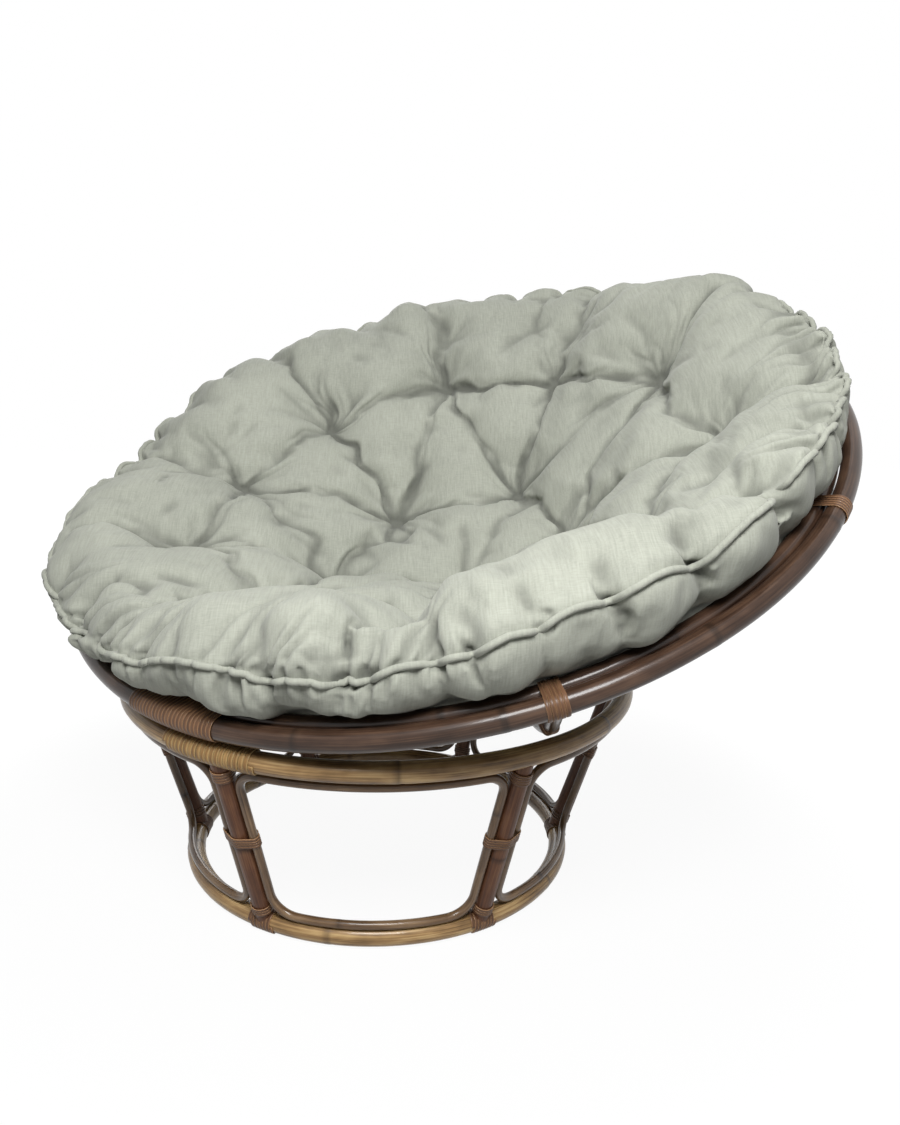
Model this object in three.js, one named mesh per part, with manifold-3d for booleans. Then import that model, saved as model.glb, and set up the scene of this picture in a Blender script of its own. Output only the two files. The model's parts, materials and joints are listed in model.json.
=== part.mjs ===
// Papasan chair: a bowl of bent rattan lying tipped in the top ring of a round base, and one tufted cushion.
// Lengths are in millimetres, +Z is up, and -Y is the side that the seat faces.
import * as THREE from 'three';
import Module from 'manifold-3d';

const wasm = await Module();
wasm.setup();

const turnOf = (degrees) => (degrees * Math.PI) / 180;

// Clearances
const fitGap = 0.3;
const softGap = 0.5;
const panelGap = 0.5;
const restGap = 1.5;
const overrun = 2;
const meshTolerance = 0.02;

// Base sizes
const bottomRingRadius = 257;
const topRingRadius = 334;
const topRingHeight = 254;
const ringPoleRadius = 12.5;
const legPoleRadius = 12;
const loopPoleRadius = 5.5;
const loopTopCornerRadius = 22;
const loopBottomCornerRadius = 35;
const legCount = 6;
const legTurn = turnOf(-1.7);
const ringSegments = 36;
const ringSides = 10;
const legSides = 12;
const loopSides = 6;
const cornerSteps = 3;

// Binding sizes
const stripThickness = 1.2;
const ringStripWidth = 5;
const ringStripGap = 1.1;
const ringWrapTurns = 20;
const ringWrapSteps = 8;
const ringWrapCentre = turnOf(-123.5);
const rimStripWidth = 4.5;
const rimStripGap = 1.1;
const rimWrapTurns = 24;
const rimArcSteps = [4, 3];
const legStripWidth = 3;
const legStripGap = 0.6;
const middleTurns = 4;
const strapHalfWidth = 8;
const strapSteps = 7;
const topSleeveLength = 17;
const footSleeveLength = 14;
const footStrapHeight = 1.5;
const rimLashingLength = 24;
const hoopSleeveLength = 34;
const middleShare = 0.53;
const ringStripPitch = ringStripWidth + ringStripGap;
const rimStripPitch = rimStripWidth + rimStripGap;
const legStripPitch = legStripWidth + legStripGap;

// Bowl sizes
const rimRadius = 550;
const bowlRadiusShare = 640 / 550;
const bowlRadius = rimRadius * bowlRadiusShare;
const outerHoopPoleRadius = 13;
const innerHoopPoleRadius = 11;
const ribPoleRadius = 8;
const middleHoopPoleRadius = 8;
const bottomHoopPoleRadius = 7;
const ribCount = 8;
const ribTurn = turnOf(-3);
const middleHoopPolar = turnOf(48);
const bottomHoopPolar = turnOf(15);
const lowDirection = turnOf(-126.2);
const hoopSleeveCentre = turnOf(23.2);
const hoopSegments = 48;
const outerHoopSides = 10;
const innerHoopSides = 8;
const middleHoopSides = 6;
const ribSides = 8;
const bottomHoopSegments = 24;
const bottomHoopSides = 6;

// Cushion sizes
const pipingRadius = 5;
const pipingSides = 5;
const pipingBeyondRim = 6;
const pipingReachSwing = 18;
const pipingHeight = 65;
const pipingHeightSwing = 25;
const seamMargin = 1;
const seamHalfGap = 0.4;
const lobeThickness = 169;
const tuftThickness = 134;
const middleThicknessShare = 0.45;
const tuftReach = 62;
const innerTuftPolar = turnOf(19);
const outerTuftPolar = turnOf(44);
const innerTufts = 5;
const outerTufts = 10;
const tuftTurn = turnOf(-40);
const crestInset = 55;
const crestHeight = 114;
const crestWave = 8;
const bulgeReach = 10;
const bulgeSwing = 8;
const seamInset = pipingRadius + seamMargin;
const seamShoulderInset = pipingRadius * 0.4;
const seamShoulderRise = pipingRadius * 1.8;
const pipingReach = rimRadius + pipingBeyondRim;
const crestReach = rimRadius - crestInset;

// Colours
const rimBrown = 0x3a2622;
const baseBrown = 0x6b4426;
const bindingBrown = 0x4a3024;
const bindingTan = 0x8d6c3f;
const clothSage = 0xa3a697;

const group = new THREE.Group();
group.name = 'papasan_chair';

function vector(x, y, z) {
  return new THREE.Vector3(x, y, z);
}

// A closed solid from a list of corner positions and triangles, turned to face outward.
function outwardSolid(points, faces) {
  let volume = 0;
  for (const [i, j, k] of faces) {
    volume += points[i].dot(points[j].clone().cross(points[k]));
  }
  const index = faces.flatMap(([i, j, k]) => (volume > 0 ? [i, j, k] : [i, k, j]));
  const geometry = new THREE.BufferGeometry();
  const positions = points.flatMap((point) => [point.x, point.y, point.z]);
  geometry.setAttribute('position', new THREE.Float32BufferAttribute(positions, 3));
  geometry.setIndex(index);
  return geometry;
}

// A skin over rings of equal count: closed on itself, or ended by flat faces or by one point at each end.
function skin(rings, closed = false, startPoint = null, endPoint = null) {
  const sides = rings[0].length;
  const points = rings.flat();
  const faces = [];
  const spans = closed ? rings.length : rings.length - 1;
  for (let i = 0; i < spans; i += 1) {
    const here = i * sides;
    const next = ((i + 1) % rings.length) * sides;
    for (let j = 0; j < sides; j += 1) {
      const after = (j + 1) % sides;
      faces.push([here + j, here + after, next + after]);
      faces.push([here + j, next + after, next + j]);
    }
  }
  const last = (rings.length - 1) * sides;
  if (startPoint) {
    points.push(startPoint, endPoint);
    for (let j = 0; j < sides; j += 1) {
      const after = (j + 1) % sides;
      faces.push([points.length - 2, after, j]);
      faces.push([points.length - 1, last + j, last + after]);
    }
  } else if (!closed) {
    for (let j = 1; j < sides - 1; j += 1) {
      faces.push([0, j + 1, j]);
      faces.push([last, last + j, last + j + 1]);
    }
  }
  return outwardSolid(points, faces);
}

// Corners of a round pole's section, starting at the given turn.
function roundSection(radius, sides, startTurn = 0) {
  return Array.from({ length: sides }, (unused, i) => {
    const turn = startTurn + (i * 2 * Math.PI) / sides;
    return [radius * Math.cos(turn), radius * Math.sin(turn)];
  });
}

// A section grown by the same clearance on every flat.
function grownRadius(radius, clearance, sides) {
  return radius + clearance / Math.cos(Math.PI / sides);
}

function placeSection(section, centre, across, up) {
  return section.map(([x, y]) => centre.clone().addScaledVector(across, x).addScaledVector(up, y));
}

// How far a regular polygon's edge lies inside its corner circle at an azimuth, as a share.
function polygonShare(azimuth, firstCorner, segments) {
  const step = (2 * Math.PI) / segments;
  const into = (((azimuth - firstCorner) % step) + step) % step;
  return Math.cos(step / 2) / Math.cos(into - step / 2);
}

function onRing(azimuth, reach, height, firstCorner, segments) {
  const flat = reach * polygonShare(azimuth, firstCorner, segments);
  return vector(flat * Math.cos(azimuth), flat * Math.sin(azimuth), height);
}

// A pole bent to a full hoop, with the section given as outward and upward offsets.
function hoop(radius, height, section, segments, firstCorner) {
  const rings = [];
  for (let i = 0; i < segments; i += 1) {
    const azimuth = firstCorner + (i * 2 * Math.PI) / segments;
    rings.push(section.map(([x, y]) => onRing(azimuth, radius + x, height + y, firstCorner, segments)));
  }
  return skin(rings, true);
}

// The taut outline of a strip round a row of poles: arc points with the pole centre that each turns round.
function tautOutline(poles, arcSteps) {
  const count = poles.length;
  const normalTurns = poles.map((pole, i) => {
    const next = poles[(i + 1) % count];
    const heading = Math.atan2(next.y - pole.y, next.x - pole.x);
    const distance = Math.hypot(next.x - pole.x, next.y - pole.y);
    return heading - Math.acos((pole.radius - next.radius) / distance);
  });
  const outline = [];
  poles.forEach((pole, i) => {
    const from = normalTurns[(i + count - 1) % count];
    const full = 2 * Math.PI;
    const sweep = (((normalTurns[i] - from) % full) + full) % full;
    const steps = arcSteps[i];
    const mitre = 1 / Math.cos(sweep / steps / 2);
    for (let k = 0; k <= steps; k += 1) {
      const turn = from + (sweep * k) / steps;
      outline.push({ x: pole.x, y: pole.y, radius: pole.radius, turn, mitre });
    }
  });
  return outline;
}

function roundOutline(radius, steps) {
  const mitre = 1 / Math.cos(Math.PI / steps);
  return Array.from({ length: steps }, (unused, k) => (
    { x: 0, y: 0, radius, turn: (k * 2 * Math.PI) / steps, mitre }
  ));
}

function outlineCorner(corner, clearance) {
  const reach = (corner.radius + clearance) * corner.mitre;
  return [corner.x + reach * Math.cos(corner.turn), corner.y + reach * Math.sin(corner.turn)];
}

// One unbroken flat strip wound round an outline, laid along a path by the placing function.
function winding(name, outline, turns, pitch, width, start, place) {
  const inner = outline.map((corner) => outlineCorner(corner, fitGap));
  const outer = outline.map((corner) => outlineCorner(corner, fitGap + stripThickness));
  const runs = [0];
  for (let k = 0; k < inner.length; k += 1) {
    const [x, y] = inner[k];
    const [nextX, nextY] = inner[(k + 1) % inner.length];
    runs.push(runs[k] + Math.hypot(nextX - x, nextY - y));
  }
  const around = runs[inner.length];
  const rings = [];
  for (let i = 0; i <= turns * inner.length; i += 1) {
    const k = i % inner.length;
    const along = start + pitch * (Math.floor(i / inner.length) + runs[k] / around);
    rings.push([
      place(inner[k][0], inner[k][1], along - width / 2),
      place(inner[k][0], inner[k][1], along + width / 2),
      place(outer[k][0], outer[k][1], along + width / 2),
      place(outer[k][0], outer[k][1], along - width / 2),
    ]);
  }
  let least = Infinity;
  rings.forEach((ring, i) => {
    for (let later = i + inner.length - 1; later <= i + inner.length + 1; later += 1) {
      const other = rings[later];
      if (other) {
        ring.forEach((point) => other.forEach((match) => {
          least = Math.min(least, point.distanceTo(match));
        }));
      }
    }
  });
  console.log(`${name}: least gap between turns ${least.toFixed(2)} mm`);
  return skin(rings);
}

function toManifold(geometry) {
  return new wasm.Manifold(new wasm.Mesh({
    numProp: 3,
    vertProperties: new Float32Array(geometry.getAttribute('position').array),
    triVerts: new Uint32Array(geometry.getIndex().array),
  }));
}

function fromManifold(solid) {
  const mesh = solid.asOriginal().simplify(meshTolerance).getMesh();
  const geometry = new THREE.BufferGeometry();
  geometry.setAttribute('position', new THREE.Float32BufferAttribute(mesh.vertProperties, 3));
  geometry.setIndex(Array.from(mesh.triVerts));
  return geometry;
}

function cutBy(solid, cutters) {
  return cutters.reduce((left, cutter) => left.subtract(toManifold(cutter)), solid);
}

function addPiece(name, geometry, colour, roughness) {
  const material = new THREE.MeshStandardMaterial({ color: colour, roughness, metalness: 0 });
  const mesh = new THREE.Mesh(geometry, material);
  mesh.name = name;
  group.add(mesh);
}

// Base rings. The section stands on one of its flats, so the bottom ring has a true flat to rest on.
const ringFlatTurn = -Math.PI / 2 + Math.PI / ringSides;
const bottomRingHeight = ringPoleRadius * Math.cos(Math.PI / ringSides);

function baseRing(radius, height, poleRadius) {
  const section = roundSection(poleRadius, ringSides, ringFlatTurn);
  return hoop(radius, height, section, ringSegments, legTurn);
}

addPiece('base_bottom_ring', baseRing(bottomRingRadius, bottomRingHeight, ringPoleRadius), baseBrown, 0.45);
addPiece('base_top_ring', baseRing(topRingRadius, topRingHeight, ringPoleRadius), baseBrown, 0.45);

const clearRadius = grownRadius(ringPoleRadius, fitGap, ringSides);
const bottomRingClearance = baseRing(bottomRingRadius, bottomRingHeight, clearRadius);
const topRingClearance = baseRing(topRingRadius, topRingHeight, clearRadius);

// The long binding over the top ring's splice.
const ringWrapOutline = roundOutline(ringPoleRadius, ringWrapSteps);
const ringWrapReach = outlineCorner(ringWrapOutline[0], fitGap + stripThickness)[0];
const ringWrapHalfTurn = ((ringWrapTurns * ringStripPitch) / 2 + ringStripWidth) / topRingRadius;

addPiece('base_ring_splice_wrap', winding(
  'base_ring_splice_wrap',
  ringWrapOutline,
  ringWrapTurns,
  ringStripPitch,
  ringStripWidth,
  (-ringWrapTurns * ringStripPitch) / 2,
  (x, y, along) => onRing(
    ringWrapCentre + along / topRingRadius,
    topRingRadius + x,
    topRingHeight + y,
    legTurn,
    ringSegments,
  ),
), bindingTan, 0.5);

// Legs stand between the two ring centre lines on one cone, so a length along the cone places everything.
const coneRun = Math.hypot(topRingRadius - bottomRingRadius, topRingHeight - bottomRingHeight);
const coneOut = (topRingRadius - bottomRingRadius) / coneRun;
const coneUp = (topRingHeight - bottomRingHeight) / coneRun;
const reachAt = (slant) => bottomRingRadius + coneOut * slant;
const heightAt = (slant) => bottomRingHeight + coneUp * slant;

function legFrame(index) {
  const azimuth = legTurn + (index * 2 * Math.PI) / legCount;
  const outward = vector(Math.cos(azimuth), Math.sin(azimuth), 0);
  const across = vector(-Math.sin(azimuth), Math.cos(azimuth), 0);
  const along = outward.clone().multiplyScalar(coneOut).add(vector(0, 0, coneUp));
  const face = outward.clone().multiplyScalar(coneUp).add(vector(0, 0, -coneOut));
  const foot = outward.clone().multiplyScalar(bottomRingRadius).add(vector(0, 0, bottomRingHeight));
  const wrapOffset = Math.atan2(Math.sin(azimuth - ringWrapCentre), Math.cos(azimuth - ringWrapCentre));
  const wrapped = Math.abs(wrapOffset) < ringWrapHalfTurn;
  const at = (x, y, slant) => foot.clone()
    .addScaledVector(across, x)
    .addScaledVector(face, y)
    .addScaledVector(along, slant);
  return { azimuth, across, face, wrapped, at };
}

function legPole(frame, radius, fromSlant, toSlant) {
  const section = roundSection(radius, legSides);
  const ringAt = (slant) => section.map(([x, y]) => frame.at(x, y, slant));
  return skin([ringAt(fromSlant), ringAt(toSlant)]);
}

// Filler loops: a rounded outline in each bay, drawn on the unrolled cone and laid back on it.
const loopOffset = legPoleRadius + loopPoleRadius + fitGap;
const loopLow = ringPoleRadius + loopPoleRadius + fitGap;
const loopHigh = coneRun - ringWrapReach - loopPoleRadius - fitGap;
const bayHalfTurn = Math.PI / legCount;
const ringStep = (2 * Math.PI) / ringSegments;
const halfBayAt = (slant) => bayHalfTurn * reachAt(slant) - loopOffset;

function loopCorner(corner, before, after, radius) {
  const inward = before.clone().sub(corner).normalize();
  const outward = after.clone().sub(corner).normalize();
  const halfAngle = inward.angleTo(outward) / 2;
  const bisector = inward.clone().add(outward).normalize();
  const centre = corner.clone().addScaledVector(bisector, radius / Math.sin(halfAngle));
  const start = corner.clone().addScaledVector(inward, radius / Math.tan(halfAngle)).sub(centre);
  const turnHalf = Math.PI / 2 - halfAngle;
  return Array.from({ length: cornerSteps + 1 }, (unused, k) => {
    const turn = (2 * turnHalf * k) / cornerSteps;
    return centre.clone().add(start.clone().rotateAround(new THREE.Vector2(0, 0), turn));
  });
}

function loopOutline() {
  const corners = [
    new THREE.Vector2(halfBayAt(loopLow), loopLow),
    new THREE.Vector2(halfBayAt(loopHigh), loopHigh),
    new THREE.Vector2(-halfBayAt(loopHigh), loopHigh),
    new THREE.Vector2(-halfBayAt(loopLow), loopLow),
  ];
  const radii = [loopBottomCornerRadius, loopTopCornerRadius, loopTopCornerRadius, loopBottomCornerRadius];
  const outline = [];
  corners.forEach((corner, i) => {
    const before = corners[(i + 3) % 4];
    const after = corners[(i + 1) % 4];
    const arc = loopCorner(corner, before, after, radii[i]);
    const previous = outline[outline.length - 1];
    if (i === 2) {
      runPoints(previous, arc[0]).forEach((point) => outline.push(point));
    }
    outline.push(...arc);
  });
  runPoints(outline[outline.length - 1], outline[0]).forEach((point) => outline.push(point));
  return outline;
}

// Points along a level run at the same azimuth steps as the rings.
function runPoints(from, to) {
  const reach = reachAt(from.y);
  const steps = Math.floor((Math.abs(to.x - from.x) / 2 / reach) / ringStep);
  const heading = Math.sign(to.x - from.x);
  const points = [];
  for (let k = -steps; k <= steps; k += 1) {
    const x = heading * k * ringStep * reach;
    const room = Math.min(Math.abs(x - from.x), Math.abs(x - to.x));
    if (room > loopPoleRadius) {
      points.push(new THREE.Vector2(x, from.y));
    }
  }
  return points;
}

const loopPath = loopOutline();

function bayLoop(index, poleRadius) {
  const middle = legTurn + ((index + 0.5) * 2 * Math.PI) / legCount;
  const centres = loopPath.map((point) => {
    const azimuth = middle + point.x / reachAt(point.y);
    return vector(
      reachAt(point.y) * Math.cos(azimuth),
      reachAt(point.y) * Math.sin(azimuth),
      heightAt(point.y),
    );
  });
  const section = roundSection(poleRadius, loopSides);
  const rings = centres.map((centre, i) => {
    const azimuth = Math.atan2(centre.y, centre.x);
    const face = vector(coneUp * Math.cos(azimuth), coneUp * Math.sin(azimuth), -coneOut);
    const before = centres[(i + centres.length - 1) % centres.length];
    const after = centres[(i + 1) % centres.length];
    const inRun = centre.clone().sub(before).normalize();
    const outRun = after.clone().sub(centre).normalize();
    const heading = inRun.clone().add(outRun).normalize();
    const side = heading.clone().cross(face).normalize();
    const mitre = 1 / Math.cos(inRun.angleTo(outRun) / 2);
    return section.map(([x, y]) => centre.clone()
      .addScaledVector(side, x * mitre)
      .addScaledVector(face, y));
  });
  return skin(rings, true);
}

for (let i = 0; i < legCount; i += 1) {
  addPiece(`base_loop_${i + 1}`, bayLoop(i, loopPoleRadius), baseBrown, 0.5);
}

// Where a loop's side lies beside a leg, seen along the leg.
function polesBesideLeg(slant) {
  const reach = reachAt(slant);
  const turn = loopOffset / reach;
  const x = reach * Math.sin(turn);
  const y = -reach * (1 - Math.cos(turn)) * coneUp;
  return [
    { x, y, radius: loopPoleRadius },
    { x: 0, y: 0, radius: legPoleRadius },
    { x: -x, y, radius: loopPoleRadius },
    { x: 0, y: 0, radius: legPoleRadius },
  ];
}

const bundleSteps = [2, 1, 2, 1];
const wrapClearRadius = (ringWrapReach + fitGap) / Math.cos(Math.PI / ringSides);
const topSleeveEnd = coneRun - wrapClearRadius - fitGap;
const topSleeveStart = topSleeveEnd - topSleeveLength;
const footSleeveEnd = loopLow + footSleeveLength;
const middleStart = coneRun * middleShare - (middleTurns * legStripPitch) / 2;

// A strap over a ring: a rounded outline in the leg's own plane, as wide as the strap.
function strapSolid(frame, ringSlant, sleeveSlant) {
  const away = Math.sign(ringSlant - sleeveSlant);
  const legReach = legPoleRadius + fitGap + stripThickness;
  const ringReach = (ringPoleRadius + fitGap + stripThickness) / Math.cos(Math.PI / strapSteps / 2);
  const outline = [[-legReach, sleeveSlant]];
  for (let k = 0; k <= strapSteps; k += 1) {
    const turn = Math.PI - (Math.PI * k) / strapSteps;
    outline.push([ringReach * Math.cos(turn), ringSlant + away * ringReach * Math.sin(turn)]);
  }
  outline.push([legReach, sleeveSlant]);
  const ringAt = (x) => outline.map(([y, slant]) => frame.at(x, y, slant));
  return toManifold(skin([ringAt(-strapHalfWidth), ringAt(strapHalfWidth)]));
}

function topLashing(frame, index) {
  const radius = legPoleRadius + fitGap + stripThickness;
  let solid = toManifold(legPole(frame, radius, topSleeveStart, topSleeveEnd));
  if (!frame.wrapped) {
    solid = solid.add(strapSolid(frame, coneRun, topSleeveStart));
  }
  const loopClear = grownRadius(loopPoleRadius, fitGap, loopSides);
  const legClear = grownRadius(legPoleRadius, fitGap, legSides);
  return fromManifold(cutBy(solid, [
    legPole(frame, legClear, topSleeveStart - overrun, coneRun),
    bayLoop(index, loopClear),
    bayLoop((index + legCount - 1) % legCount, loopClear),
    topRingClearance,
  ]));
}

function footLashing(frame) {
  const radius = legPoleRadius + fitGap + stripThickness;
  const legClear = grownRadius(legPoleRadius, fitGap, legSides);
  const solid = toManifold(legPole(frame, radius, 0, footSleeveEnd))
    .add(strapSolid(frame, 0, footSleeveEnd));
  const floor = footStrapHeight - ringPoleRadius - overrun;
  const below = [
    [-1, -1],
    [1, -1],
    [1, 1],
    [-1, 1],
  ].map(([x, y]) => [x * topRingRadius, y * topRingRadius]);
  const levelAt = (height) => below.map(([x, y]) => vector(x, y, height));
  return fromManifold(cutBy(solid, [
    legPole(frame, legClear, -overrun, footSleeveEnd + overrun),
    bottomRingClearance,
    skin([levelAt(floor - ringPoleRadius), levelAt(footStrapHeight)]),
  ]));
}

const wrapClearance = baseRing(topRingRadius, topRingHeight, wrapClearRadius);

for (let i = 0; i < legCount; i += 1) {
  const frame = legFrame(i);
  const leg = cutBy(toManifold(legPole(frame, legPoleRadius, 0, coneRun)), [
    bottomRingClearance,
    frame.wrapped ? wrapClearance : topRingClearance,
  ]);
  addPiece(`base_leg_${i + 1}`, fromManifold(leg), baseBrown, 0.4);
  addPiece(`leg_top_lashing_${i + 1}`, topLashing(frame, i), bindingTan, 0.5);
  addPiece(`leg_foot_lashing_${i + 1}`, footLashing(frame), bindingTan, 0.5);
  addPiece(`leg_middle_lashing_${i + 1}`, winding(
    `leg_middle_lashing_${i + 1}`,
    tautOutline(polesBesideLeg(coneRun * middleShare), bundleSteps),
    middleTurns,
    legStripPitch,
    legStripWidth,
    middleStart,
    frame.at,
  ), bindingTan, 0.5);
}

// Bowl. Rim and ribs lie on one sphere. Its centre is the bowl's own origin, and +Z leaves through the seat.
const rimPolar = Math.asin(rimRadius / bowlRadius);
const rimDepth = Math.sqrt(bowlRadius ** 2 - rimRadius ** 2);
const innerHoopIn = ribPoleRadius + innerHoopPoleRadius + fitGap;
const hoopSpacing = outerHoopPoleRadius + innerHoopPoleRadius + fitGap;
const innerHoopDown = Math.sqrt(hoopSpacing ** 2 - innerHoopIn ** 2);
const innerHoopReach = rimRadius - innerHoopIn * Math.sin(rimPolar) - innerHoopDown * Math.cos(rimPolar);
const innerHoopRise = innerHoopIn * Math.cos(rimPolar) - innerHoopDown * Math.sin(rimPolar);
const middleHoopRadius = bowlRadius - ribPoleRadius - middleHoopPoleRadius - fitGap;
const bottomHoopRadius = bowlRadius - ribPoleRadius - bottomHoopPoleRadius - fitGap;

const rimPoles = [
  { x: rimRadius, y: 0, radius: outerHoopPoleRadius },
  { x: innerHoopReach, y: innerHoopRise, radius: innerHoopPoleRadius },
];
const rimOutline = tautOutline(rimPoles, rimArcSteps);
const rimWrapReach = Math.max(...rimOutline.map((corner) => {
  const [x, y] = outlineCorner(corner, fitGap + stripThickness);
  return Math.hypot(x - rimRadius, y) * (corner.x === rimRadius ? 1 : 0);
}));

// The bowl's place: its ribs lie on the ring's binding, and its rim is tipped down until it nearly meets it.
const ringFromCentre = bowlRadius + ribPoleRadius + fitGap + ringWrapReach;
const bowlCentreHeight = topRingHeight + Math.sqrt(ringFromCentre ** 2 - topRingRadius ** 2);
const ringPolar = Math.asin(topRingRadius / ringFromCentre);
const rimFromRing = rimWrapReach + ringWrapReach + restGap;
const rimPolarGap = Math.acos(
  (bowlRadius ** 2 + ringFromCentre ** 2 - rimFromRing ** 2) / (2 * bowlRadius * ringFromCentre),
);
const bowlTilt = rimPolar - ringPolar - rimPolarGap;

const seatAxis = vector(
  Math.sin(bowlTilt) * Math.cos(lowDirection),
  Math.sin(bowlTilt) * Math.sin(lowDirection),
  Math.cos(bowlTilt),
);
const tiltAxis = vector(-Math.sin(lowDirection), Math.cos(lowDirection), 0);
const lowAxis = tiltAxis.clone().cross(seatAxis);
const bowlPlace = new THREE.Matrix4()
  .makeBasis(lowAxis, tiltAxis, seatAxis)
  .setPosition(0, 0, bowlCentreHeight);

function addBowlPiece(name, geometry, colour, roughness) {
  addPiece(name, geometry.applyMatrix4(bowlPlace), colour, roughness);
}

// A point of the bowl from its azimuth, its reach from the seat axis and its rise above the rim's plane.
function onBowl(azimuth, reach, rise) {
  return onRing(azimuth, reach, rise - rimDepth, ribTurn, hoopSegments);
}

function bowlHoop(reach, rise, poleRadius, sides, segments) {
  return hoop(reach, rise - rimDepth, roundSection(poleRadius, sides), segments, ribTurn);
}

const sphereReach = (radius, polar) => radius * Math.sin(polar);
const sphereRise = (radius, polar) => rimDepth - radius * Math.cos(polar);

addBowlPiece(
  'rim_outer_hoop',
  bowlHoop(rimRadius, 0, outerHoopPoleRadius, outerHoopSides, hoopSegments),
  rimBrown,
  0.35,
);
addBowlPiece(
  'rim_inner_hoop',
  bowlHoop(innerHoopReach, innerHoopRise, innerHoopPoleRadius, innerHoopSides, hoopSegments),
  rimBrown,
  0.35,
);
addBowlPiece('middle_hoop', bowlHoop(
  sphereReach(middleHoopRadius, middleHoopPolar),
  sphereRise(middleHoopRadius, middleHoopPolar),
  middleHoopPoleRadius,
  middleHoopSides,
  hoopSegments,
), rimBrown, 0.4);
addBowlPiece('bottom_hoop', bowlHoop(
  sphereReach(bottomHoopRadius, bottomHoopPolar),
  sphereRise(bottomHoopRadius, bottomHoopPolar),
  bottomHoopPoleRadius,
  bottomHoopSides,
  bottomHoopSegments,
), rimBrown, 0.4);

// The rim's splice binding lies over the first rib, whose end stops short of it.
const rimWrapHalfRun = (rimWrapTurns * rimStripPitch) / 2;
addBowlPiece('rim_splice_wrap', winding(
  'rim_splice_wrap',
  rimOutline,
  rimWrapTurns,
  rimStripPitch,
  rimStripWidth,
  -rimWrapHalfRun,
  (x, y, along) => onBowl(ribTurn + along / rimRadius, x, y),
), bindingBrown, 0.45);

const ribLowPolar = bottomHoopPolar - (bottomHoopPoleRadius + overrun) / bowlRadius;
const ribHighPolar = rimPolar - (outerHoopPoleRadius + fitGap) / bowlRadius;
const wrappedRibDrop = innerHoopDown + innerHoopPoleRadius + stripThickness;
const wrappedRibPolar = rimPolar - wrappedRibDrop / bowlRadius;
const ribSteps = 4;

function ribArc(azimuth, poleRadius, topPolar) {
  const polars = [ribLowPolar];
  for (let k = 0; k <= ribSteps; k += 1) {
    polars.push(bottomHoopPolar + ((middleHoopPolar - bottomHoopPolar) * k) / ribSteps);
  }
  polars.push((middleHoopPolar + topPolar) / 2, topPolar);
  const outward = vector(Math.cos(azimuth), Math.sin(azimuth), 0);
  const across = vector(-Math.sin(azimuth), Math.cos(azimuth), 0);
  const rings = polars.map((polar) => {
    const away = outward.clone().multiplyScalar(Math.sin(polar)).add(vector(0, 0, -Math.cos(polar)));
    return placeSection(
      roundSection(poleRadius, ribSides),
      away.clone().multiplyScalar(bowlRadius),
      away,
      across,
    );
  });
  return skin(rings);
}

// A binding over both rim hoops at a rib, as one sleeve with the rib's own hole through its lower wall.
function rimLashing(azimuth) {
  const sleeve = (clearance, halfRun) => {
    const corners = rimOutline.map((corner) => outlineCorner(corner, clearance));
    const stations = [-halfRun, 0, halfRun];
    return skin(stations.map((along) => corners.map(([x, y]) => (
      onBowl(azimuth + along / rimRadius, x, y)
    ))));
  };
  const outer = toManifold(sleeve(fitGap + stripThickness, rimLashingLength / 2));
  const ribClear = grownRadius(ribPoleRadius, fitGap, ribSides);
  return fromManifold(cutBy(outer, [
    sleeve(fitGap, rimLashingLength / 2 + overrun),
    ribArc(azimuth, ribClear, ribHighPolar),
  ]));
}

for (let i = 0; i < ribCount; i += 1) {
  const azimuth = ribTurn + (i * 2 * Math.PI) / ribCount;
  const topPolar = i === 0 ? wrappedRibPolar : ribHighPolar;
  addBowlPiece(`rib_${i + 1}`, ribArc(azimuth, ribPoleRadius, topPolar), rimBrown, 0.4);
  if (i > 0) {
    addBowlPiece(`rim_lashing_${i}`, rimLashing(azimuth), bindingBrown, 0.45);
  }
}

// The short binding over the middle hoop's splice.
function hoopSleeve(clearance, halfRun) {
  const reach = sphereReach(middleHoopRadius, middleHoopPolar);
  const rise = sphereRise(middleHoopRadius, middleHoopPolar);
  const corners = roundOutline(middleHoopPoleRadius, ringWrapSteps)
    .map((corner) => outlineCorner(corner, clearance));
  return skin([-halfRun, halfRun].map((along) => corners.map(([x, y]) => (
    onBowl(hoopSleeveCentre + along / reach, reach + x, rise + y)
  ))));
}

addBowlPiece('middle_hoop_splice', fromManifold(cutBy(
  toManifold(hoopSleeve(fitGap + stripThickness, hoopSleeveLength / 2)),
  [hoopSleeve(fitGap, hoopSleeveLength / 2 + overrun)],
)), bindingBrown, 0.45);

// Cushion. The filled bottom follows the bowl, passes inside the inner hoop and bulges over the rim.
const hoopWrapReach = (middleHoopPoleRadius + fitGap + stripThickness) / Math.cos(Math.PI / ringWrapSteps);
const cushionRadius = middleHoopRadius - hoopWrapReach - softGap;
const lobeRadius = cushionRadius - lobeThickness;
const tuftRadius = cushionRadius - tuftThickness;
const midRadius = cushionRadius - lobeThickness * middleThicknessShare;
const innerWrapReach = Math.max(...rimOutline.map((corner) => {
  const [x, y] = outlineCorner(corner, fitGap + stripThickness);
  return Math.hypot(x - innerHoopReach, y - innerHoopRise) * (corner.x === innerHoopReach ? 1 : 0);
}));
const neckReach = innerHoopReach - innerWrapReach - softGap;
const neckPolar = Math.asin(neckReach / cushionRadius);
const neckHeight = innerHoopRise + innerHoopPoleRadius;
const overRimHeight = rimWrapReach + softGap;
const wideSide = turnOf(65);
const tallSide = turnOf(75);
const azimuths = Array.from({ length: hoopSegments }, (unused, i) => (
  ribTurn + (i * 2 * Math.PI) / hoopSegments
));

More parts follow.
